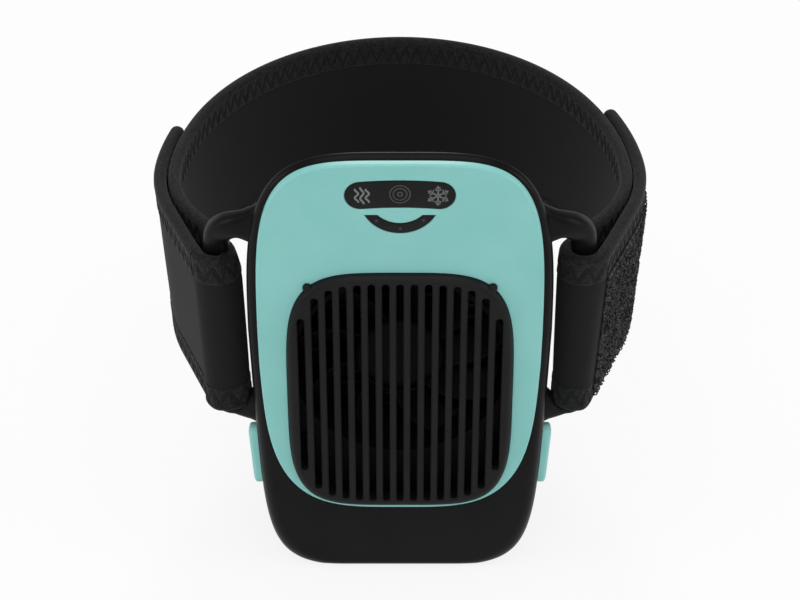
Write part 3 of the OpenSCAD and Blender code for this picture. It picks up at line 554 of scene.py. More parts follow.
# %% Front cover
SEAM = 0.12
HOLE_GAP = 0.15
KEEP_FLAT = 0.05
rings = [grille_ring(FACE, -HOLE_GAP), cover_ring(FACE, COVER_EDGE_R + KEEP_FLAT)]
rings += [cover_ring(FACE + d, i) for d, i in round_edge(COVER_EDGE_R, 8)]
rings += [cover_ring(-SEAM, 0), cover_ring(-SEAM, SEAM), cover_ring(0, SEAM), cover_ring(0, COVER_WALL)]
rings += [cover_ring(FACE + COVER_WALL, COVER_WALL), grille_ring(FACE + COVER_WALL, -HOLE_GAP)]
cover_shell = new_object("cover_shell", *loft(rings, hoop=True), smooth_to=40)
carve(cover_shell, [window_solid(pill_outline, lip), window_solid(smile_outline, lip)], 40)
settle(cover_shell, teal_abs, "housing", "teal_shell", "front_cover")

# %% [markdown]
# ## Windows
# Each lens is a plug of acrylic with a softened edge that sits a hair below the cover's face. The symbols on
# the mode window are generic ones for warmth, pulse and cold: three heat waves, two rings round a dot, and a
# snowflake. Each is a set of strokes with round ends, drawn as thin raised plates of print.

# %% Lenses
LENS_FACE = FACE + 0.1
# depth and growth, from the back of the plug to its face
lens_profile = [(0.6, -0.02), (LENS_FACE + 0.2, -0.02), (LENS_FACE + 0.06, -0.07), (LENS_FACE, -0.22)]
mode_lens = new_object("mode_lens", *window_solid(pill_outline, lens_profile))
settle(mode_lens, smoked_acrylic, "housing", "window", "display_window")
level_lens = new_object("level_lens", *window_solid(smile_outline, lens_profile))
settle(level_lens, smoked_acrylic, "housing", "window", "level_window")

# %% Printed symbols
PRINT_T = 0.05
PRINT_ROOT = 0.1
SYMBOL_PITCH = 9.5
SYMBOL_Z = PILL_Z - 0.4
WAVE_HALF_H = 2.3
WAVE_SWING = 0.42
WAVE_L = 3.1
WAVE_GAP = 1.35
WAVE_W = 0.5
ARM_L = 2.75
ARM_W = 0.38
TWIGS = ((1.35, 0.95), (2.05, 0.6))
TWIG_TURN = math.radians(55)
TWIG_W = 0.26
# radius and width of each ring
PULSE = ((2.55, 0.28), (1.7, 0.28), (0.6, 0.34))


def stroke(x, z, width):
    """A flat plate along a line of points, width wide, with round ends, standing PRINT_T off the lens."""
    line = np.stack([x, z], axis=1)
    heading = np.gradient(line, axis=0)
    heading /= np.linalg.norm(heading, axis=1, keepdims=True)
    side = np.stack([-heading[:, 1], heading[:, 0]], axis=1) * width / 2
    turn = np.linspace(0, np.pi, 8)[1:-1, None]
    tail = line[0] + np.cos(turn) * -side[0] - np.sin(turn) * heading[0] * width / 2
    head = line[-1] + np.cos(turn) * side[-1] + np.sin(turn) * heading[-1] * width / 2
    rim = np.concatenate([line + side, head, (line - side)[::-1], tail])
    return plate(rim)


def plate(rim):
    """A thin solid with the given rim in x and z, lying on the lens."""
    return loft([at_depth(rim[:, 0], rim[:, 1], LENS_FACE + d) for d in (PRINT_ROOT, -PRINT_T)])


def ring_plate(cx, cz, radius, width, count=48):
    """A thin flat ring: a hoop of four circles."""
    t = 2 * np.pi * np.arange(count) / count
    near, far = radius - width / 2, radius + width / 2
    corners = ((near, PRINT_ROOT), (far, PRINT_ROOT), (far, -PRINT_T), (near, -PRINT_T))
    return loft([at_depth(cx + r * np.cos(t), cz + r * np.sin(t), LENS_FACE + d) for r, d in corners], hoop=True)


rise = np.linspace(-WAVE_HALF_H, WAVE_HALF_H, 25)
swing = WAVE_SWING * np.sin(rise * 2 * np.pi / WAVE_L)
waves = [stroke(-SYMBOL_PITCH + offset + swing, SYMBOL_Z + rise * scale, WAVE_W)
         for offset, scale in ((-WAVE_GAP, 0.8), (0, 1.0), (WAVE_GAP, 0.8))]
flake = []
for k in range(6):
    a = math.radians(30 + 60 * k)
    out = np.array([math.cos(a), math.sin(a)])
    arm = np.outer(np.linspace(0, ARM_L, 6), out)
    flake.append(stroke(SYMBOL_PITCH + arm[:, 0], SYMBOL_Z + arm[:, 1], ARM_W))
    for start, reach in TWIGS:
        for way in (-1, 1):
            b = a + way * TWIG_TURN
            twig = start * out + np.outer(np.linspace(0, reach, 4), [math.cos(b), math.sin(b)])
            flake.append(stroke(SYMBOL_PITCH + twig[:, 0], SYMBOL_Z + twig[:, 1], TWIG_W))
bold_symbols = new_object("printed_symbols", *joined(waves + flake))
settle(bold_symbols, symbol_print, "housing", "lamp")
pulse = [ring_plate(0, PILL_Z + 0.05, radius, width) for radius, width in PULSE]
faint_symbol = new_object("printed_rings", *joined(pulse))
settle(faint_symbol, faint_print, "housing", "lamp")

# %% Lamp dots
def dot(cx, cz, radius, count=20):
    """A round plate on the lens."""
    t = 2 * np.pi * np.arange(count) / count
    return plate(np.stack([cx + radius * np.cos(t), cz + radius * np.sin(t)], axis=1))


dots = [dot(x, z, 0.42) for x, z in ((-5.9, SMILE_Z - 1.55), (0.1, SMILE_Z - 3.9), (5.9, SMILE_Z - 1.35))]
lamp_dots = new_object("lamp_dots", *joined(dots))
settle(lamp_dots, lamp_red, "housing", "window")

# %% [markdown]
# ## Grille
# The grille is a deep tray with soft edges and fifteen upright slots. It is one run of rings, capped at its face
# and inside it, and the slots are cut by long round-ended plugs. Each plug flares where it meets the face, so
# every bar gets a rounded arris, as a moulded bar has, without a separate bevel.

# %% Grille
GRILLE_EDGE_R = 2.0
GRILLE_WALL = 2.4
SLOTS = 15
SLOT_PITCH = 3.67
SLOT_HALF_W = 0.925
SLOT_BORDER = 2.3
BAR_R = 0.35


def slot_plug(x, reach, half_w, profile, count=20):
    """A long round-ended plug, upright at x, through the outline at each pair of depth and growth in profile."""
    turn = np.linspace(0, np.pi, count)
    rings = []
    for depth, grow in profile:
        r = half_w + grow
        rim_x = np.concatenate([x + r * np.cos(turn), x - r * np.cos(turn)])
        rim_z = np.concatenate([reach - half_w + r * np.sin(turn), half_w - reach - r * np.sin(turn)])
        rings.append(at_depth(rim_x, GRILLE_Z + rim_z, depth))
    return loft(rings)


front_edge = round_edge(GRILLE_EDGE_R, 12)
inner_edge = round_edge(0.3, 2)
rings = [grille_ring(GRILLE_FRONT + d, i) for d, i in front_edge]
rings += [grille_ring(FACE + COVER_WALL, 0), grille_ring(FACE + COVER_WALL + 0.05, -GRILLE_LIP),
          grille_ring(-0.1, -GRILLE_LIP), grille_ring(-0.1, GRILLE_WALL)]
rings += [grille_ring(GRILLE_FRONT + GRILLE_WALL + d, GRILLE_WALL + i) for d, i in inner_edge[::-1]]
grille_tray = new_object("grille_tray", *loft(rings), smooth_to=40)
flare = [(GRILLE_FRONT - 1, BAR_R), (GRILLE_FRONT, BAR_R)]
flare += [(GRILLE_FRONT + BAR_R * math.sin(a), BAR_R * (1 - math.sin(a)))
          for a in (0.35, 0.75, 1.15, math.pi / 2)]
flare += [(GRILLE_FRONT + GRILLE_WALL + 3, 0)]
plugs = []
power = GRILLE_SHAPE[0]
for i in range(SLOTS):
    x = (i - (SLOTS - 1) / 2) * SLOT_PITCH
    reach = (GRILLE_UP - SLOT_BORDER) * (1 - (abs(x) / (GRILLE_HALF - SLOT_BORDER)) ** power) ** (1 / power)
    plugs.append(slot_plug(x, reach, SLOT_HALF_W, flare))
carve(grille_tray, plugs, 40)
settle(grille_tray, grille_abs, "housing", "grille_shell", "grille")

# %% [markdown]
# ## Case
# The black case shows as a rim round the cover, as the long chin below it, and as the two ears that carry the
# strap. The body is one hoop of rings with a rounded front edge, whose radius grows down the chin's two sides.

# %% Case body
TOP_EDGE_R = 2.4
CHIN_EDGE_R = 3.9
FRONT_WALL = 2.0
OPENING_INSET = 0.6


def front_edge_ring(a):
    """The case's outline at angle a round its front edge. The radius grows from the shoulders down to the chin's
    sides, by a smooth step of the height times a smooth step of the distance from the centre line."""
    x, z = outline(CASE_HALF, CASE_UP, WAIST_Z + BASE_CUT, *CASE_SHAPE)
    down, out = np.clip((20 - z) / 70, 0, 1), np.clip((np.abs(x) - 16) / 16, 0, 1)
    ease = smooth_step(down) * smooth_step(out)
    radius = TOP_EDGE_R + (CHIN_EDGE_R - TOP_EDGE_R) * ease
    ring = case_ring(0, radius * (1 - math.sin(a)))
    ring[:, 1] = RIM_Y + radius * (1 - math.cos(a))
    return ring


rings = [grille_ring(0, OPENING_INSET)]
rings += [front_edge_ring(a) for a in np.linspace(0, np.pi / 2, 11)]
rings += [case_ring(d, 0) for d in (4, 8, 12, SPLIT_DEPTH - 0.25)]
rings += [case_ring(SPLIT_DEPTH - 0.05, 0.2), case_ring(SPLIT_DEPTH - 0.05, WALL)]
rings += [case_ring(5, WALL), case_ring(FRONT_WALL + 1.5, WALL + 1), case_ring(FRONT_WALL, WALL + 3)]
rings += [grille_ring(FRONT_WALL, OPENING_INSET)]
case_body = new_object("case_body", *loft(rings, hoop=True), smooth_to=40)

# %% [markdown]
# ### Ears
# Each ear is a handle that grows out of the case's shoulder, hooks round like a finger to carry the bar, and
# runs back into the case lower down. It is a squarish section swept along a smooth path. The section's size is
# set at a few stations, and it flares at both roots as a moulded fillet does.

# %% Swept handles
def smooth_path(stations, count):
    """Points of a smooth cubic curve through the stations, evenly spaced along it. Between two stations its
    slope at each end follows the neighbours on both sides. Every column is carried along."""
    p = np.asarray(stations, float)
    p = np.concatenate([2 * p[:1] - p[1:2], p, 2 * p[-1:] - p[-2:-1]])
    t = np.linspace(0, len(stations) - 1 - 1e-9, 40 * len(stations))
    k, u = t.astype(int), (t % 1)[:, None]
    a, b, c, d = p[k], p[k + 1], p[k + 2], p[k + 3]
    fine = 0.5 * (2 * b + (c - a) * u + (2 * a - 5 * b + 4 * c - d) * u ** 2 + (3 * b - a - 3 * c + d) * u ** 3)
    run = np.concatenate([[0], np.cumsum(np.linalg.norm(np.diff(fine[:, :3], axis=0), axis=1))])
    at = np.linspace(0, run[-1], count)
    return np.stack([np.interp(at, run, fine[:, j]) for j in range(p.shape[1])], axis=1)


def handle(stations, count=160, around=48, power=2.6):
    """A superellipse section swept along x, y, z. It has a half width away from the slot, one towards it, and a
    half depth, which all change along the path."""
    path = smooth_path(stations, count)
    centre, away, towards, depth = path[:, :3], path[:, 3], path[:, 4], path[:, 5]
    heading = np.gradient(centre, axis=0)
    heading /= np.linalg.norm(heading, axis=1, keepdims=True)
    back = np.array([0.0, 1.0, 0.0]) - heading[:, 1:2] * heading
    back /= np.linalg.norm(back, axis=1, keepdims=True)
    across = np.cross(back, heading)
    t = 2 * np.pi * np.arange(around) / around
    c = np.sign(np.cos(t)) * np.abs(np.cos(t)) ** (2 / power)
    s = np.sign(np.sin(t)) * np.abs(np.sin(t)) ** (2 / power)
    half = np.where(c[None, :] > 0, towards[:, None], away[:, None])
    sideways = (half * c)[..., None] * across[:, None]
    return loft(centre[:, None] + sideways + (depth[:, None] * s)[..., None] * back[:, None])


bar_x = box_mm("main_case")[1][0] - 3.2
BAR_DEPTH = 10.2
BAR_HALF = 3.0
# x, depth, z, half width away from the slot, half width towards it, half depth
EAR_STATIONS = [
    (31.0, 4.6, 111.8, 13.0, 6.0, 3.0),
    (34.0, 4.6, 112.0, 9.3, 4.8, 3.0),
    (36.6, 4.7, 112.1, 6.7, 5.6, 3.0),
    (39.2, 4.8, 112.1, 5.0, 3.8, 3.0),
    (41.6, 5.4, 111.8, 4.1, 2.7, 3.1),
    (44.2, 6.8, 110.5, 3.9, 2.9, 3.3),
    (46.6, 8.6, 108.1, 3.7, 3.3, 3.4),
    (bar_x, 9.8, 104.7, 3.5, 3.5, 3.4),
    (bar_x, BAR_DEPTH, 101.3, 3.1, 3.1, 3.1),
    (bar_x, BAR_DEPTH, 96.0, BAR_HALF, BAR_HALF, BAR_HALF),
    (bar_x, BAR_DEPTH, 78.0, BAR_HALF, BAR_HALF, BAR_HALF),
    (bar_x, BAR_DEPTH, 60.0, BAR_HALF, BAR_HALF, BAR_HALF),
    (bar_x, BAR_DEPTH, 54.5, BAR_HALF, BAR_HALF, BAR_HALF),
    (47.3, 10.2, 51.9, 2.7, 2.7, 3.0),
    (45.9, 10.1, 50.8, 2.3, 1.6, 3.1),
    (44.1, 9.8, 50.6, 2.0, 1.3, 3.2),
    (41.5, 9.0, 50.6, 2.4, 3.2, 3.4),
    (39.2, 8.5, 50.9, 3.4, 6.0, 3.8),
    (36.5, 8.2, 50.9, 5.0, 8.0, 4.3),
    (33.0, 8.0, 50.9, 6.0, 9.0, 4.6),
]


def mirrored(part):
    """The same points and faces on the other side of the centre line."""
    points, faces = part
    return points * np.array([-1.0, 1.0, 1.0]), faces


stations = np.array(EAR_STATIONS)
stations[:, 1] += RIM_Y
right_ear = handle(stations)
print("ear swept through", len(stations), "stations")

# %% Buttons' holes and the finished case
BUTTON_HALF_L = 9.8
BUTTON_HALF_W = 2.7
BUTTON_Z = 36.9
BUTTON_DEPTH = 6.1
BUTTON_TILT = math.radians(3.5)
BUTTON_SEAT = box_mm("right_button")[1][0] - 2.3
USB_DEPTH = 11.6


def button_rings(profile, count=28):
    """Round-ended rings across the right button's axis, at each pair of height above the seat and growth."""
    turn = np.linspace(-np.pi / 2, np.pi / 2, count)
    rings = []
    for out, grow in profile:
        r = BUTTON_HALF_W + grow
        y = np.concatenate([r * np.sin(turn), -r * np.sin(turn)])
        z = np.concatenate([BUTTON_HALF_L - BUTTON_HALF_W + r * np.cos(turn),
                            BUTTON_HALF_W - BUTTON_HALF_L - r * np.cos(turn)])
        x = np.full_like(y, out)
        rings.append(np.stack([BUTTON_SEAT + x * math.cos(BUTTON_TILT) + z * math.sin(BUTTON_TILT),
                               RIM_Y + BUTTON_DEPTH + y,
                               BUTTON_Z - x * math.sin(BUTTON_TILT) + z * math.cos(BUTTON_TILT)], axis=1))
    return rings


def base_slot(half_l, half_w, count=16):
    """A round-ended plug through the base for the charging socket."""
    turn = np.linspace(-np.pi / 2, np.pi / 2, count)
    x = np.concatenate([half_l - half_w + half_w * np.cos(turn), half_w - half_l - half_w * np.cos(turn)])
    y = np.concatenate([half_w * np.sin(turn), -half_w * np.sin(turn)]) + RIM_Y + USB_DEPTH
    return loft([np.stack([x, y, np.full_like(x, z)], axis=1) for z in (-1.0, 3.0)])


hole = loft(button_rings([(-4, 0.2), (0.2, 0.2), (4, 0.6)]))
carve(case_body, [hole, mirrored(hole), base_slot(4.75, 1.85)], 40)
settle(case_body, black_abs, "housing", "black_shell", "main_case")
ears = new_object("strap_ears", *joined([right_ear, mirrored(right_ear)]), smooth_to=60)
settle(ears, black_abs, "housing", "black_shell")

# %% [markdown]
# ## Side buttons
# A button is a round-ended pad with a crowned face. Its rings follow the tilt of the case's side, and the
# height of the crown over the pad's width is a shallow parabola.

# %% Side buttons
BUTTON_PROUD = 2.3
CROWN_H = 0.3
PAD_EDGE_R = 0.9
rounding = [(BUTTON_PROUD - CROWN_H - PAD_EDGE_R * (1 - math.sin(a)), -PAD_EDGE_R * (1 - math.cos(a)))
            for a in np.linspace(0, np.pi / 2, 7)]
crown = [(BUTTON_PROUD - CROWN_H + CROWN_H * (1 - s * s), -PAD_EDGE_R - (1 - s) * (BUTTON_HALF_W - 0.95))
         for s in (0.75, 0.5, 0.25, 0.02)]
right_pad = loft(button_rings([(-2.6, 0.9), (-1.8, 0.9), (-1.75, 0.0), (0.0, 0.0)] + rounding + crown))
for side, pad in (("left", mirrored(right_pad)), ("right", right_pad)):
    button = new_object(f"{side}_button_pad", *pad, smooth_to=50)
    settle(button, teal_abs, f"button_{side}", "teal_shell", f"{side}_button")

# %% [markdown]
# ## Rear shell and contact plate
# The rear shell tapers to a flat back with a wide soft edge. The square hole for the contact plate, the vents
# at both sides and the screw seats are cut out of it. The plate is a rounded square of blasted aluminium with
# a softened edge, which stands a little out of the back.

# %% Rear shell
REAR_EDGE_R = 4.0
FAN_Z = 67.3
PLATE_HALF = 25.0
PLATE_R = 6.0
plate_low, plate_high = box_mm("contact_plate")
sink_low, sink_high = box_mm("heat_sink")


def square_ring(depth, half, corner, count=16):
    """A square with round corners across the depth, centred on the plate."""
    turn = np.linspace(0, np.pi / 2, count)
    corners = [(1, 1, 0), (-1, 1, 1), (-1, -1, 2), (1, -1, 3)]
    x = np.concatenate([sx * (half - corner) + corner * np.cos(turn + k * np.pi / 2) for sx, sz, k in corners])
    z = np.concatenate([sz * (half - corner) + corner * np.sin(turn + k * np.pi / 2) for sx, sz, k in corners])
    return at_depth(x, z + FAN_Z, depth)


def disc_ring(cx, cz, radius, depth, count=40):
    """A circle across the depth."""
    t = 2 * np.pi * np.arange(count) / count
    return at_depth(cx + radius * np.cos(t), cz + radius * np.sin(t), depth)


HEAD_R = 2.4
PLATE_GAP = 0.25
VENT_PITCH = 5.4
VENT_HALF_W = 1.1
screw_low, screw_high = box_mm("case_screws")
SCREWS = [(side * x, z) for side in (-1, 1)
          for x, z in ((20.0, screw_high[2] - HEAD_R), (20.5, screw_low[2] + HEAD_R))]
# radius and depth, from the shank's hole out to the flared rim of the head's seat
SCREW_SEAT = ((1.5, CASE_DEPTH - 4), (1.5, CASE_DEPTH - 1.1), (2.7, CASE_DEPTH - 1.1), (2.7, CASE_DEPTH - 0.2),
              (3.2, CASE_DEPTH + 0.3))
rings = [case_ring(CASE_DEPTH - WALL - d, WALL + i) for d, i in round_edge(REAR_EDGE_R - WALL, 4)]
rings += [case_ring(SPLIT_DEPTH + d, i) for d, i in ((0.05, WALL), (0.05, 0.2), (0.25, 0))]
rings += [case_ring(d, 0) for d in (19, 22, 25)]
rings += [case_ring(CASE_DEPTH - d, i) for d, i in round_edge(REAR_EDGE_R, 12)[::-1]]
rear_shell = new_object("rear_shell", *loft(rings), smooth_to=40)
cutters = [loft([square_ring(CASE_DEPTH + d, PLATE_HALF + PLATE_GAP, PLATE_R) for d in (-4, 1)])]
cutters += [loft([disc_ring(x, z, r, d) for r, d in SCREW_SEAT]) for x, z in SCREWS]
vent_front, vent_back = sink_low[1] - RIM_Y + 1.2, sink_high[1] - RIM_Y - 2.6
turn = np.linspace(0, 2 * np.pi, 24, endpoint=False)
straight = np.sign(np.cos(turn)) * ((vent_back - vent_front) / 2 - VENT_HALF_W)
y = RIM_Y + (vent_front + vent_back) / 2 + straight + VENT_HALF_W * np.cos(turn)
for k in range(-4, 5):
    z = FAN_Z + VENT_PITCH * k + VENT_HALF_W * np.sin(turn)
    cutters.append(loft([np.stack([np.full_like(y, x), y, z], axis=1) for x in (-CASE_HALF - 1, CASE_HALF + 1)]))
carve(rear_shell, cutters, 40)
settle(rear_shell, black_abs, "housing", "black_shell", "rear_cover")

# %% Contact plate and case screws
FLANGE_HALF = 28.0
FLANGE_R = 3.0
PLATE_EDGE_R = 0.7
face = plate_high[1] - RIM_Y
soft = [(face - d, PLATE_HALF - i, PLATE_R - i) for d, i in round_edge(PLATE_EDGE_R, 6)[::-1]]
profile = [(plate_low[1] - RIM_Y, FLANGE_HALF, FLANGE_R), (CASE_DEPTH - WALL - 0.3, FLANGE_HALF, FLANGE_R),
           (CASE_DEPTH - WALL - 0.29, PLATE_HALF, PLATE_R)]
skin_plate = new_object("skin_plate", *loft([square_ring(d, h, c) for d, h, c in profile + soft]))
settle(skin_plate, blasted_aluminium, "housing", "aluminium", "contact_plate")


def screw_head(cx, cz, radius=2.35, rings_out=22, count=64):
    """A pan head on a shank. Its top is a polar grid that falls with the fourth power of the radius, with a cross
    sunk in where x or z is small."""
    r = np.linspace(0.02, 1, rings_out)[:, None] * radius
    t = (2 * np.pi * np.arange(count) / count)[None, :]
    x, z = r * np.cos(t), r * np.sin(t)
    arm = np.minimum(np.abs(x), np.abs(z))
    inside = np.clip((0.42 - arm) / 0.1, 0, 1) * np.clip((1.35 - r) / 0.12, 0, 1)
    depth = CASE_DEPTH - 0.15 - 0.3 * (r / radius) ** 4 - 0.55 * inside
    top = np.stack([cx + x, RIM_Y + depth + 0 * x, cz + z], axis=2)
    shank = ((radius, CASE_DEPTH - 1.0), (1.2, CASE_DEPTH - 1.0), (1.2, CASE_DEPTH - 9))
    return loft(np.concatenate([top, np.array([disc_ring(cx, cz, *step, count) for step in shank])]))


screws = new_object("case_screw_set", *joined([screw_head(x, z) for x, z in SCREWS]), smooth_to=50)
settle(screws, plated_steel, "housing", "steel", "case_screws")

# %% [markdown]
# ## Fan and grille snaps
# The fan shows as a dark wheel behind the slots. Nine blades sweep forward from its hub. Each blade is a thin
# lens shaped section, carried out from the hub while its pitch falls and its middle turns ahead. Two small
# round heads at the grille's upper corners are the snaps that hold it in the cover.

# %% Fan wheel and snap heads
HUB_R = 12.2
TIP_R = 27.4
BLADES = 9
wheel_low, wheel_high = box_mm("fan_rotor")
wheel_front, wheel_back = wheel_low[1] - RIM_Y, wheel_high[1] - RIM_Y
wheel_mid = RIM_Y + (wheel_front + wheel_back) / 2


def blade(k, stations=14, count=24):
    """Sections from inside the hub to the tip. A section is an ellipse, chord long and 1 mm thick, that is tilted
    by the pitch and wrapped round the fan's axis."""
    t = 2 * np.pi * np.arange(count) / count
    rings = []
    for s in np.linspace(0, 1, stations):
        r = HUB_R - 0.8 + s * (TIP_R - HUB_R + 0.8)
        chord, pitch, ahead = 8.0 + 2.4 * s, math.radians(42 - 16 * s), math.radians(18) * s * s
        along, thick = chord / 2 * np.cos(t), 0.5 * np.sin(t)
        round_way = along * math.cos(pitch) - thick * math.sin(pitch)
        depth = along * math.sin(pitch) + thick * math.cos(pitch)
        angle = 2 * math.pi * k / BLADES + ahead + round_way / r
        rings.append(np.stack([r * np.cos(angle), wheel_mid + depth, FAN_Z + r * np.sin(angle)], axis=1))
    return loft(rings)


HUB_EDGE_R = 1.5
quarter = np.linspace(0, np.pi / 2, 7)
cap = [(HUB_EDGE_R * (1 - math.sin(a)), HUB_EDGE_R * (1 - math.cos(a))) for a in quarter]
hub = [disc_ring(0, FAN_Z, 0.3, wheel_front + 0.1)]
hub += [disc_ring(0, FAN_Z, HUB_R - i, wheel_front + d) for i, d in cap[::-1]]
hub += [disc_ring(0, FAN_Z, HUB_R, wheel_back)]
fan_wheel = new_object("fan_wheel", *joined([loft(hub)] + [blade(k) for k in range(BLADES)]), smooth_to=40)
settle(fan_wheel, fan_pbt, "fan", "fan_plastic", "fan_rotor")
SNAP_X = GRILLE_HALF - 5.9
SNAP_Z = GRILLE_Z + GRILLE_UP - 4.3
SNAP_R = 1.2
dome = [(SNAP_R * 0.99 * math.sin(a) + 0.01, FACE - 1.4 + 0.7 * (1 - math.cos(a))) for a in quarter]
dome += [(SNAP_R, FACE + 0.1)]
snap = [loft([disc_ring(side * SNAP_X, SNAP_Z, r, d, 28) for r, d in dome]) for side in (-1, 1)]
snap_heads = new_object("grille_snap_heads", *joined(snap), smooth_to=50)
settle(snap_heads, grille_abs, "housing", "grille_shell")

# %% [markdown]
# ## Strap
# One strap of 2.6 mm neoprene, 50 mm wide, goes round the limb. Each end passes forward through an ear's slot,
# wraps round the bar and folds back over itself, where hooks hold it. Simulated cloth would lose the even sewing,
# so the strap is modelled directly: its route is drawn once in plan, and every layer is a section carried along
# it. The two ends are pieces of their own, because they peel open.

# %% The strap's route
strap_low, strap_high = box_mm("band_tape_lower")[0][2], box_mm("band_tape_upper")[1][2]
STRAP_W = strap_high - strap_low
FOAM_HALF = 1.3
TAPE_T = 0.4
TAPE_W = 8.0
BAR_GAP = 0.3
BAR = np.array([bar_x, RIM_Y + BAR_DEPTH])
WRAP_R = BAR_HALF + BAR_GAP + TAPE_T + FOAM_HALF
LOOP_HALF = BAR[0] + 13.5
LOOP_Y = RIM_Y + 50.0
LOOP_BACK = 70.0
LOOP_FRONT = 54.7
LAY_GAP = 3.8
SLOT_TURN = math.radians(142)
LINE_TURN = math.radians(-20)
END_TURNS = {"left": math.radians(17.5), "right": math.radians(25)}
LEAVE_PULL = 16.0
SIDE_PULL = 17.0


def on_loop(extra, t):
    """A point on an ellipse round the limb, whose back half is deeper than its front, grown by extra."""
    depth = np.where(np.asarray(t) > 0, LOOP_BACK, LOOP_FRONT) + extra
    return np.stack([(LOOP_HALF + extra) * np.cos(t), LOOP_Y + depth * np.sin(t)], axis=-1)


def round_bar(turn):
    """The strap's middle where it wraps the bar: a circle round the bar's centre."""
    return BAR + WRAP_R * np.stack([np.cos(turn), np.sin(turn)], axis=-1)


def evenly(line, step):
    """The line's points at even spacing, the unit normal on its left at each, and the distance run."""
    run = np.concatenate([[0], np.cumsum(np.linalg.norm(np.diff(line, axis=0), axis=1))])
    at = np.linspace(0, run[-1], int(round(run[-1] / step)) + 1)
    even = np.stack([np.interp(at, run, line[:, k]) for k in (0, 1)], axis=1)
    heading = np.gradient(even, axis=0)
    reach = max(1, int(1.5 / step))
    padded = np.pad(heading, ((reach, reach), (0, 0)), mode="edge")
    heading = sum(padded[k:k + len(heading)] for k in range(2 * reach + 1))
    heading /= np.linalg.norm(heading, axis=1, keepdims=True)
    return even, np.stack([-heading[:, 1], heading[:, 0]], axis=1), at


line_start = on_loop(LAY_GAP, LINE_TURN)
across = line_start - BAR
fold_turn = math.atan2(across[1], across[0]) - math.acos(WRAP_R / np.linalg.norm(across))
fold = round_bar(fold_turn)
leave = round_bar(SLOT_TURN)
pull = np.array([leave, leave + LEAVE_PULL * np.array([math.sin(SLOT_TURN), -math.cos(SLOT_TURN)]),
                 on_loop(0, 0.0) - [0, SIDE_PULL], on_loop(0, 0.0)])
u = np.linspace(0, 1, 400)[:, None]
lead = (1 - u) ** 3 * pull[0] + 3 * u * (1 - u) ** 2 * pull[1] + 3 * u ** 2 * (1 - u) * pull[2] + u ** 3 * pull[3]
half = np.concatenate([round_bar(np.linspace(fold_turn, SLOT_TURN - 2 * math.pi, 600)), lead[1:],
                       on_loop(0, np.linspace(0, math.pi / 2, 900)[1:])])
band_line = np.concatenate([half, (half * [-1, 1])[-2::-1]])
flap_lines = {}
for side, end in END_TURNS.items():
    straight = fold + np.linspace(0, 1, 300)[:, None] * (line_start - fold)
    flap_lines[side] = np.concatenate([straight, on_loop(LAY_GAP, np.linspace(LINE_TURN, end, 500)[1:])])
BAND_L = evenly(band_line, 1.0)[2][-1]
FLAP_L = {side: evenly(line, 1.0)[2][-1] for side, line in flap_lines.items()}
PITCH = BAND_L / round(BAND_L / 3.6)
print("band", round(BAND_L, 1), "mm, ends", {k: round(v, 1) for k, v in FLAP_L.items()}, "stitch", round(PITCH, 2))

# %% [markdown]
# ### Layers of the strap
# Where the strap passes through a slot it leans a little, as the pull of the limb tips it, and outside the bars
# it is a slight cone. Towards its free end an end gets thinner and its corners turn over in a small radius. These
# are plain functions of place and of the distance run, so that foam, tape, thread and loops all follow them.

# %% Shape of the strap
END_CORNER_R = 3.5
END_SOFT_L = 1.6
CROWN = 0.16
SQUEEZE = 0.05
STRAP_MIDDLE = (strap_low + strap_high) / 2
# side: lean of the lower and the upper edge at the slot, extra lean of the top corner, flare of both edges outside
LEAN = {-1: (0.9, -0.4, -2.2, -1.3, 0.6), 1: (0.0, 0.15, -0.9, -2.0, 0.8)}
CORNER_H = 11.0


def end_drop(run, length, free_end):
    """How far the edge turns in at a distance run: a quarter circle over the last few millimetres."""
    past = np.clip(run - (length - END_CORNER_R), 0, END_CORNER_R) * free_end
    return END_CORNER_R - np.sqrt(np.maximum(END_CORNER_R ** 2 - past ** 2, 0))


def end_thin(run, length, free_end):
    """The share of the full thickness: an ellipse's quarter over the last of a free end, and 1 elsewhere."""
    past = np.clip((run - (length - END_SOFT_L)) / END_SOFT_L, 0, 0.97) * free_end
    return np.sqrt(1 - past ** 2)


def lean(points):
    """Moves the strap towards the case, or away from it, by an amount that runs evenly up its width where it
    stands between the bar and the case. Its top corner bows away there as the square of the height. Outside the
    bars the strap is a slight cone, as a limb is, so its lower edge stands closer in than its upper one."""
    x, y, z = points[..., 0], points[..., 1], points[..., 2]
    side = np.where(x < 0, -1, 1)
    inside = np.clip((BAR[0] - np.abs(x)) / WRAP_R, 0, 1) * np.clip((RIM_Y + 30 - y) / 10, 0, 1)
    outside = np.clip((np.abs(x) - BAR[0]) / 7, 0, 1) * np.clip((RIM_Y + 75 - y) / 35, 0, 1)
    inside, outside = smooth_step(inside), smooth_step(outside)
    low, high, corner, foot, brim = (np.where(side < 0, LEAN[-1][k], LEAN[1][k]) for k in range(5))
    share = (z - strap_low) / STRAP_W
    bow = corner * np.clip((z - strap_high + CORNER_H) / CORNER_H, 0, 1) ** 2
    points[..., 0] -= side * inside * (low + (high - low) * share + bow)
    points[..., 0] += side * outside * (foot + (brim - foot) * share)
    return points


def carried(route, offset, height):
    """Carries a section along a route: offset is measured to the left of the route and height upwards."""
    line, normal, _ = route
    x = line[:, 0, None] + offset * normal[:, 0, None]
    y = line[:, 1, None] + offset * normal[:, 1, None]
    return lean(np.stack([x, y, np.broadcast_to(height, x.shape)], axis=-1))


def laid(run, across):
    """Each point's place on the flat cloth: the distance run and the distance across."""
    run = np.broadcast_to(run[:, None], across.shape)
    return np.stack([run, across, np.zeros_like(across)], axis=-1).reshape(-1, 3)


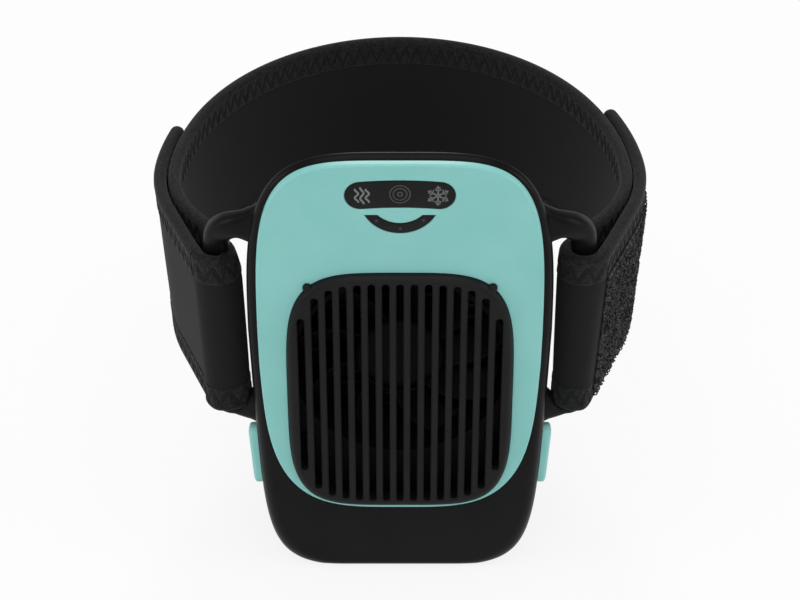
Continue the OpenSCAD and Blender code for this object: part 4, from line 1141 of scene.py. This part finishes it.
def round_section(start, end, half_at, count=30, turn_steps=7):
    """Offset and height up one face, over the top, down the other face and round the bottom. half_at gives the
    half thickness at a share of the height."""
    share = np.linspace(0, 1, count)
    half = half_at(share)
    turn = np.linspace(0, np.pi, turn_steps + 2)[1:-1]
    offset = np.concatenate([half, half[-1] * np.cos(turn), -half[::-1], -half[0] * np.cos(turn)])
    height = np.concatenate([start + (end - start) * share, end + half[-1] * np.sin(turn),
                             start + (end - start) * share[::-1], start - half[0] * np.sin(turn)])
    return offset, height


def foam_crown(share):
    """The foam's half thickness: the root of a half sine wave up its height, less what the tapes squeeze."""
    return FOAM_HALF + CROWN * np.sin(np.pi * share) ** 0.5 - SQUEEZE


def foam_piece(name, line, step, free_end=0):
    """The foam: a flat section with a faint crown between the tapes, and round edges inside them."""
    route = evenly(line, step)
    run, length = route[2], route[2][-1]
    offset, height = round_section(strap_low + TAPE_T + FOAM_HALF, strap_high - TAPE_T - FOAM_HALF, foam_crown)
    drop = end_drop(run, length, free_end)[:, None]
    high = STRAP_MIDDLE + (height - STRAP_MIDDLE) * (1 - drop / (STRAP_W / 2))
    points = carried(route, offset * end_thin(run, length, free_end)[:, None], high)
    around = np.cumsum(np.hypot(np.diff(offset, prepend=offset[0]), np.diff(height, prepend=height[0])))
    shape, faces = loft(points)
    return new_object(name, shape, faces, 60, laid(run, np.broadcast_to(around, points.shape[:2])))


# %% [markdown]
# ### Edge tape and zigzag stitches
# The tape is folded over the strap's edge and sewn down with a zigzag. Each leg of thread pulls the tape into
# the foam, and the tape puffs up between the legs. The depth of the pull falls off with the distance from the
# nearest leg as a bell curve, and the thread lies in the bottom of the groove as one short round piece a leg.

# %% Tape and thread
TAPE_HALF = FOAM_HALF + TAPE_T
STITCH_LOW = 2.6
STITCH_HIGH = 7.1
PULL_IN = 0.58
PULL_W = 0.42
THREAD_R = 0.19
THREAD_PROUD = 0.02
THREAD_DIVE = 0.35
FACE_ROWS = 26
EDGE_ROWS = 10
SLUMP = 0.06
HEM_L = 0.5
HEM_T = 0.22
TUCK = 0.25


def stitch_gap(run, inward):
    """The distance from a place on the tape to the nearest leg of the zigzag. The zigzag is a triangle wave."""
    wave = np.abs(2 * ((run / PITCH) % 1) - 1)
    share = (inward - STITCH_LOW) / (STITCH_HIGH - STITCH_LOW)
    kept = np.clip(share, 0, 1)
    rise = STITCH_HIGH - STITCH_LOW
    square_to_leg = rise / math.hypot(rise, PITCH / 2)
    return np.hypot(np.abs(wave - kept) * PITCH / 2 * square_to_leg, (share - kept) * rise)


def tape_piece(name, line, step, free_end=0):
    """Both edge tapes of a stretch of strap: a U section whose faces are pulled in along the stitches. Each face
    slumps a little away from the fold and thins at its hem as the square of the distance."""
    route = evenly(line, step)
    run, length = route[2], route[2][-1]
    inward = np.linspace(TAPE_W, TAPE_HALF, FACE_ROWS)
    turn = np.linspace(0, np.pi, EDGE_ROWS + 2)[1:-1]
    ones = np.ones(FACE_ROWS)
    side = np.concatenate([-ones, -np.cos(turn), ones])
    depth_in = np.concatenate([inward, TAPE_HALF * (1 - np.sin(turn)), inward[::-1]])
    flat = np.concatenate([ones, np.zeros(EDGE_ROWS), ones])
    gap = stitch_gap(run[:, None], depth_in[None, :])
    slump = SLUMP * np.clip((depth_in - TAPE_HALF) / 2, 0, 1)
    half = TAPE_HALF - flat * (slump + PULL_IN * np.exp(-(gap / PULL_W) ** 2))
    hem = np.clip((depth_in - TAPE_W + HEM_L) / HEM_L, 0, 1) ** 2
    half = half - HEM_T * hem * flat
    inner = FOAM_HALF - TUCK
    back_side = np.array([inner, inner, 0.0, -inner, -inner])
    back_in = np.array([TAPE_W, TAPE_HALF, TAPE_T + 0.1, TAPE_HALF, TAPE_W])
    offset = np.concatenate([side * half, np.broadcast_to(back_side, (len(run), 5))], axis=1)
    offset = offset * end_thin(run, length, free_end)[:, None]
    depth_in = np.concatenate([depth_in, back_in])
    drop = end_drop(run, length, free_end)[:, None]
    across = np.cumsum(np.hypot(np.diff(offset[0], prepend=offset[0, 0]),
                                np.diff(depth_in, prepend=depth_in[0])))
    parts, places = [], []
    for edge_z, way in ((strap_low, 1), (strap_high, -1)):
        parts.append(loft(carried(route, offset, edge_z + way * (depth_in + drop))))
        places.append(laid(run, np.broadcast_to(across, offset.shape)))
    return new_object(name, *joined(parts), 60, np.concatenate(places))


def thread_piece(name, line, free_end=0, sides=6, steps=6):
    """The zigzag thread on both faces of both tapes. Each leg is a short tube that dips in at its two ends."""
    line, normal, at = evenly(line, 0.1)
    legs = int((at[-1] - free_end * END_CORNER_R) / (PITCH / 2))
    share = np.linspace(0, 1, steps)
    run = (np.arange(legs)[:, None] + share) * PITCH / 2
    odd = (np.arange(legs) % 2 == 1)[:, None]
    inward = STITCH_LOW + np.where(odd, share, 1 - share) * (STITCH_HIGH - STITCH_LOW)
    lift = TAPE_HALF - PULL_IN + THREAD_PROUD - THREAD_DIVE * np.abs(2 * share - 1) ** 6
    spin = 2 * np.pi * np.arange(sides) / sides
    leg_way = np.where(odd, 1.0, -1.0)
    tilt = math.atan2(STITCH_HIGH - STITCH_LOW, PITCH / 2)
    x0, y0 = np.interp(run, at, line[:, 0]), np.interp(run, at, line[:, 1])
    nx, ny = np.interp(run, at, normal[:, 0]), np.interp(run, at, normal[:, 1])
    parts, places = [], []
    for edge_z, way in ((strap_low, 1), (strap_high, -1)):
        for face in (-1, 1):
            out = face * lift + THREAD_R * np.cos(spin)[:, None, None]
            along = THREAD_R * np.sin(spin)[:, None, None] * math.sin(tilt)
            up = -leg_way * way * THREAD_R * np.sin(spin)[:, None, None] * math.cos(tilt)
            x = x0 + out * nx + along * ny
            y = y0 + out * ny - along * nx
            z = edge_z + way * inward + up
            rings = lean(np.stack(np.broadcast_arrays(x, y, z), axis=-1)).transpose(1, 2, 0, 3)
            parts += [loft(leg) for leg in rings]
            flat = np.stack(np.broadcast_arrays(run, inward, np.zeros_like(run)), axis=-1)
            places.append(np.repeat(flat.reshape(-1, 3), sides, axis=0))
    return new_object(name, *joined(parts), 70, np.concatenate(places))


# %% Band
fine = PITCH / 10
band_foam = foam_piece("strap_band_foam", band_line, 0.6)
settle(band_foam, neoprene_jersey, "housing", "strap_foam", "strap_band")
band_tapes = tape_piece("strap_band_tapes", band_line, fine)
settle(band_tapes, knit_tape, "housing", "strap_tape", "band_tape_upper", "band_tape_lower")
band_thread = thread_piece("strap_band_thread", band_line)
settle(band_thread, sewing_thread, "housing", "strap_tape")

# %% [markdown]
# ### Free ends
# Both ends lie on the band with hooks between. The right end carries a field of nylon loops on its outside, so
# that a longer fold can be pressed on to it. The loops are real little arches of thread that lean every way,
# because their fuzzy edge shows against the background. The random lean is seeded.

# %% Hooks and loops
PATCH_LOW = strap_low + TAPE_W + 0.3
PATCH_H = STRAP_W - 2 * TAPE_W - 0.6
HOOK_T = 0.85
PILE_T = 1.3
PILE_START = 0.5
PILE_LOW = strap_low + 2.6
HOOK_START = 26.0


def on_route(route, run, offset, height):
    """Points at any distance run, offset and height beside an even route."""
    line, normal, at = route
    x = np.interp(run, at, line[:, 0]) + offset * np.interp(run, at, normal[:, 0])
    y = np.interp(run, at, line[:, 1]) + offset * np.interp(run, at, normal[:, 1])
    return lean(np.stack(np.broadcast_arrays(x, y, height), axis=-1))


def patch_piece(line, start, end, low, high, inner, outer):
    """A backing strip between two heights and two offsets from the route."""
    route = evenly(line, 0.5)
    run = np.linspace(start, end, int((end - start) / 0.7))
    count = 20
    z = low + (high - low) * np.concatenate([np.linspace(0, 1, count), np.linspace(1, 0, count)])
    offset = np.concatenate([np.full(count, inner), np.full(count, outer)])
    points = on_route(route, run[:, None], offset[None, :], z[None, :])
    across = np.broadcast_to(z, points.shape[:2])
    return loft(points), laid(run, across)


def arches(route, start, end, low, high, base, way, height, spacing, seed, radius, steps=5, sides=4):
    """Little arches of thread on a jittered grid. Each is half an ellipse in a plane that is turned at random."""
    rng = np.random.default_rng(seed)
    run, z = np.meshgrid(np.arange(start, end, spacing), np.arange(low + 0.4, high - 0.3, spacing))
    run = (run + rng.uniform(-0.4, 0.4, run.shape) * spacing).ravel()
    z = (z + rng.uniform(-0.4, 0.4, z.shape) * spacing).ravel()
    tall = height * rng.uniform(0.6, 1.0, len(run))
    wide = spacing * rng.uniform(0.35, 0.6, len(run))
    turn = rng.uniform(0, 2 * np.pi, len(run))
    tip = rng.uniform(-0.6, 0.6, len(run))
    a = np.linspace(0, np.pi, steps)[None, :, None]
    spin = (2 * np.pi * np.arange(sides) / sides)[None, None, :]
    w, t = wide[:, None, None], tall[:, None, None]
    fat = radius * np.cos(spin)
    along = (w + fat) * np.cos(a)
    lift = (t + fat) * np.sin(a)
    sway = radius * np.sin(spin) + tip[:, None, None] * t * np.sin(a)
    c, s = np.cos(turn)[:, None, None], np.sin(turn)[:, None, None]
    points = on_route(route, run[:, None, None] + along * c - sway * s, base + way * lift,
                      z[:, None, None] + along * s + sway * c)
    flat = np.broadcast_to(np.stack([run, z, 0 * z], axis=1)[:, None], (len(run), steps * sides, 3))
    return [loft(arch) for arch in points], flat.reshape(-1, 3)


def field_piece(name, line, start, end, low, high, base, thickness, way, spacing, seed, radius):
    """A backing strip with a field of arches on one face of it. way is the side of the route that it faces."""
    backing, backing_lay = patch_piece(line, start, end, low, high, base, base + way * 0.35 * thickness)
    loops, loops_lay = arches(evenly(line, 0.5), start + 0.4, end - 0.4, low, high,
                              base + way * 0.3 * thickness, way, 0.62 * thickness, spacing, seed, radius)
    return new_object(name, *joined([backing] + loops), 70, np.concatenate([backing_lay, loops_lay]))


# %% The two ends
for side, line in flap_lines.items():
    length = FLAP_L[side]
    pieces = [(foam_piece(f"{side}_end_foam", line, 0.6, 1), neoprene_jersey, "strap_foam", [f"{side}_flap"]),
              (tape_piece(f"{side}_end_tapes", line, fine, 1), knit_tape, "strap_tape", [f"{side}_flap_tape"]),
              (thread_piece(f"{side}_end_thread", line, 1), sewing_thread, "strap_tape", []),
              (field_piece(f"{side}_end_hooks", line, HOOK_START, length - 4, PATCH_LOW, PATCH_LOW + PATCH_H,
                           FOAM_HALF, HOOK_T, 1, 1.5, 3, 0.14),
               hook_nylon, "hook_fabric", [f"{side}_hook_patch"])]
    if side == "right":
        pieces.append((field_piece("right_end_loops", line, PILE_START, length - 3, PILE_LOW, PATCH_LOW + PATCH_H,
                                   -FOAM_HALF - TAPE_T + 0.05, PILE_T, -1, 1.15, 7, 0.2),
                       loop_pile, "loop_pile", ["right_loop_patch"]))
    for piece, material, slot, nodes in pieces:
        if side == "left":
            piece.data.transform(((-1, 0, 0, 0), (0, 1, 0, 0), (0, 0, 1, 0), (0, 0, 0, 1)))
            piece.data.flip_normals()
        piece.data.materials.append(material)
        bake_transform(piece)
        if nodes:
            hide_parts(*nodes)
        print(piece.name, len(piece.data.polygons), "faces")


# %% [markdown]
# ## Studio
# A pale floor with soft light from all sides, as in a product photograph. The world gives the even part of the
# light, and large area lamps give the soft highlights along the upper rim and the chin's edges.

# %% Floor, world and lamps
floor_mesh = bpy.data.meshes.new("studio_floor")
FLOOR_HALF = 6
FLOOR_Z = -0.0005
FLOOR_WHITE = 0.85
corners = [(x * FLOOR_HALF, y * FLOOR_HALF, FLOOR_Z) for x, y in ((-1, -1), (1, -1), (1, 1), (-1, 1))]
floor_mesh.from_pydata(corners, [], [(0, 1, 2, 3)])
floor = bpy.data.objects.new("studio_floor", floor_mesh)
bpy.context.scene.collection.objects.link(floor)
paper, paper_shader, _ = new_material("studio_paper", "#f4f4f4", 0.9, Specular_IOR_Level=0.0)
rays = add(paper, "ShaderNodeLightPath")
seen = add(paper, "ShaderNodeMath", {0: rays.outputs["Is Camera Ray"], 1: rays.outputs["Is Glossy Ray"]},
           operation="MAXIMUM")
seen = add(paper, "ShaderNodeMath", {0: seen.outputs[0], 1: rays.outputs["Is Transmission Ray"]},
           operation="MAXIMUM")
share = add(paper, "ShaderNodeMath", {0: seen.outputs[0], 1: FLOOR_WHITE}, operation="MULTIPLY")
white = add(paper, "ShaderNodeEmission", {"Color": linear("#ffffff"), "Strength": 1.0})
mixed = add(paper, "ShaderNodeMixShader",
            {0: share.outputs[0], 1: paper_shader.outputs["BSDF"], 2: white.outputs["Emission"]})
paper_out = next(n for n in paper.node_tree.nodes if n.type == "OUTPUT_MATERIAL")
paper.node_tree.links.new(mixed.outputs[0], paper_out.inputs["Surface"])
floor_mesh.materials.append(paper)

world = bpy.data.worlds.new("studio_world")
bpy.context.scene.world = world
world.use_nodes = True
world.node_tree.nodes["Background"].inputs["Color"].default_value = linear("#ffffff")
world.node_tree.nodes["Background"].inputs["Strength"].default_value = 0.33


def softbox(name, place, aim, size, watts):
    """A square area lamp at a place, facing the aim, both in metres."""
    data = bpy.data.lights.new(name, "AREA")
    data.size = size
    data.energy = watts
    lamp = bpy.data.objects.new(name, data)
    lamp.location = place
    lamp.rotation_mode = "QUATERNION"
    lamp.rotation_quaternion = (Vector(aim) - Vector(place)).to_track_quat("-Z", "Y")
    bpy.context.scene.collection.objects.link(lamp)


MIDDLE = (0, 0, 0.07)
softbox("key_overhead", (0, -0.25, 1.1), MIDDLE, 0.9, 4.6)
softbox("front_fill", (0, -1.3, 0.7), MIDDLE, 1.2, 4.6)
softbox("left_strip", (-0.9, -0.2, 0.45), MIDDLE, 0.5, 2)
softbox("right_strip", (0.9, -0.2, 0.45), MIDDLE, 0.5, 2)
softbox("back_rim", (0, 1.0, 0.8), MIDDLE, 0.3, 4.2)
bpy.context.scene.view_settings.view_transform = "Standard"
print("studio set")
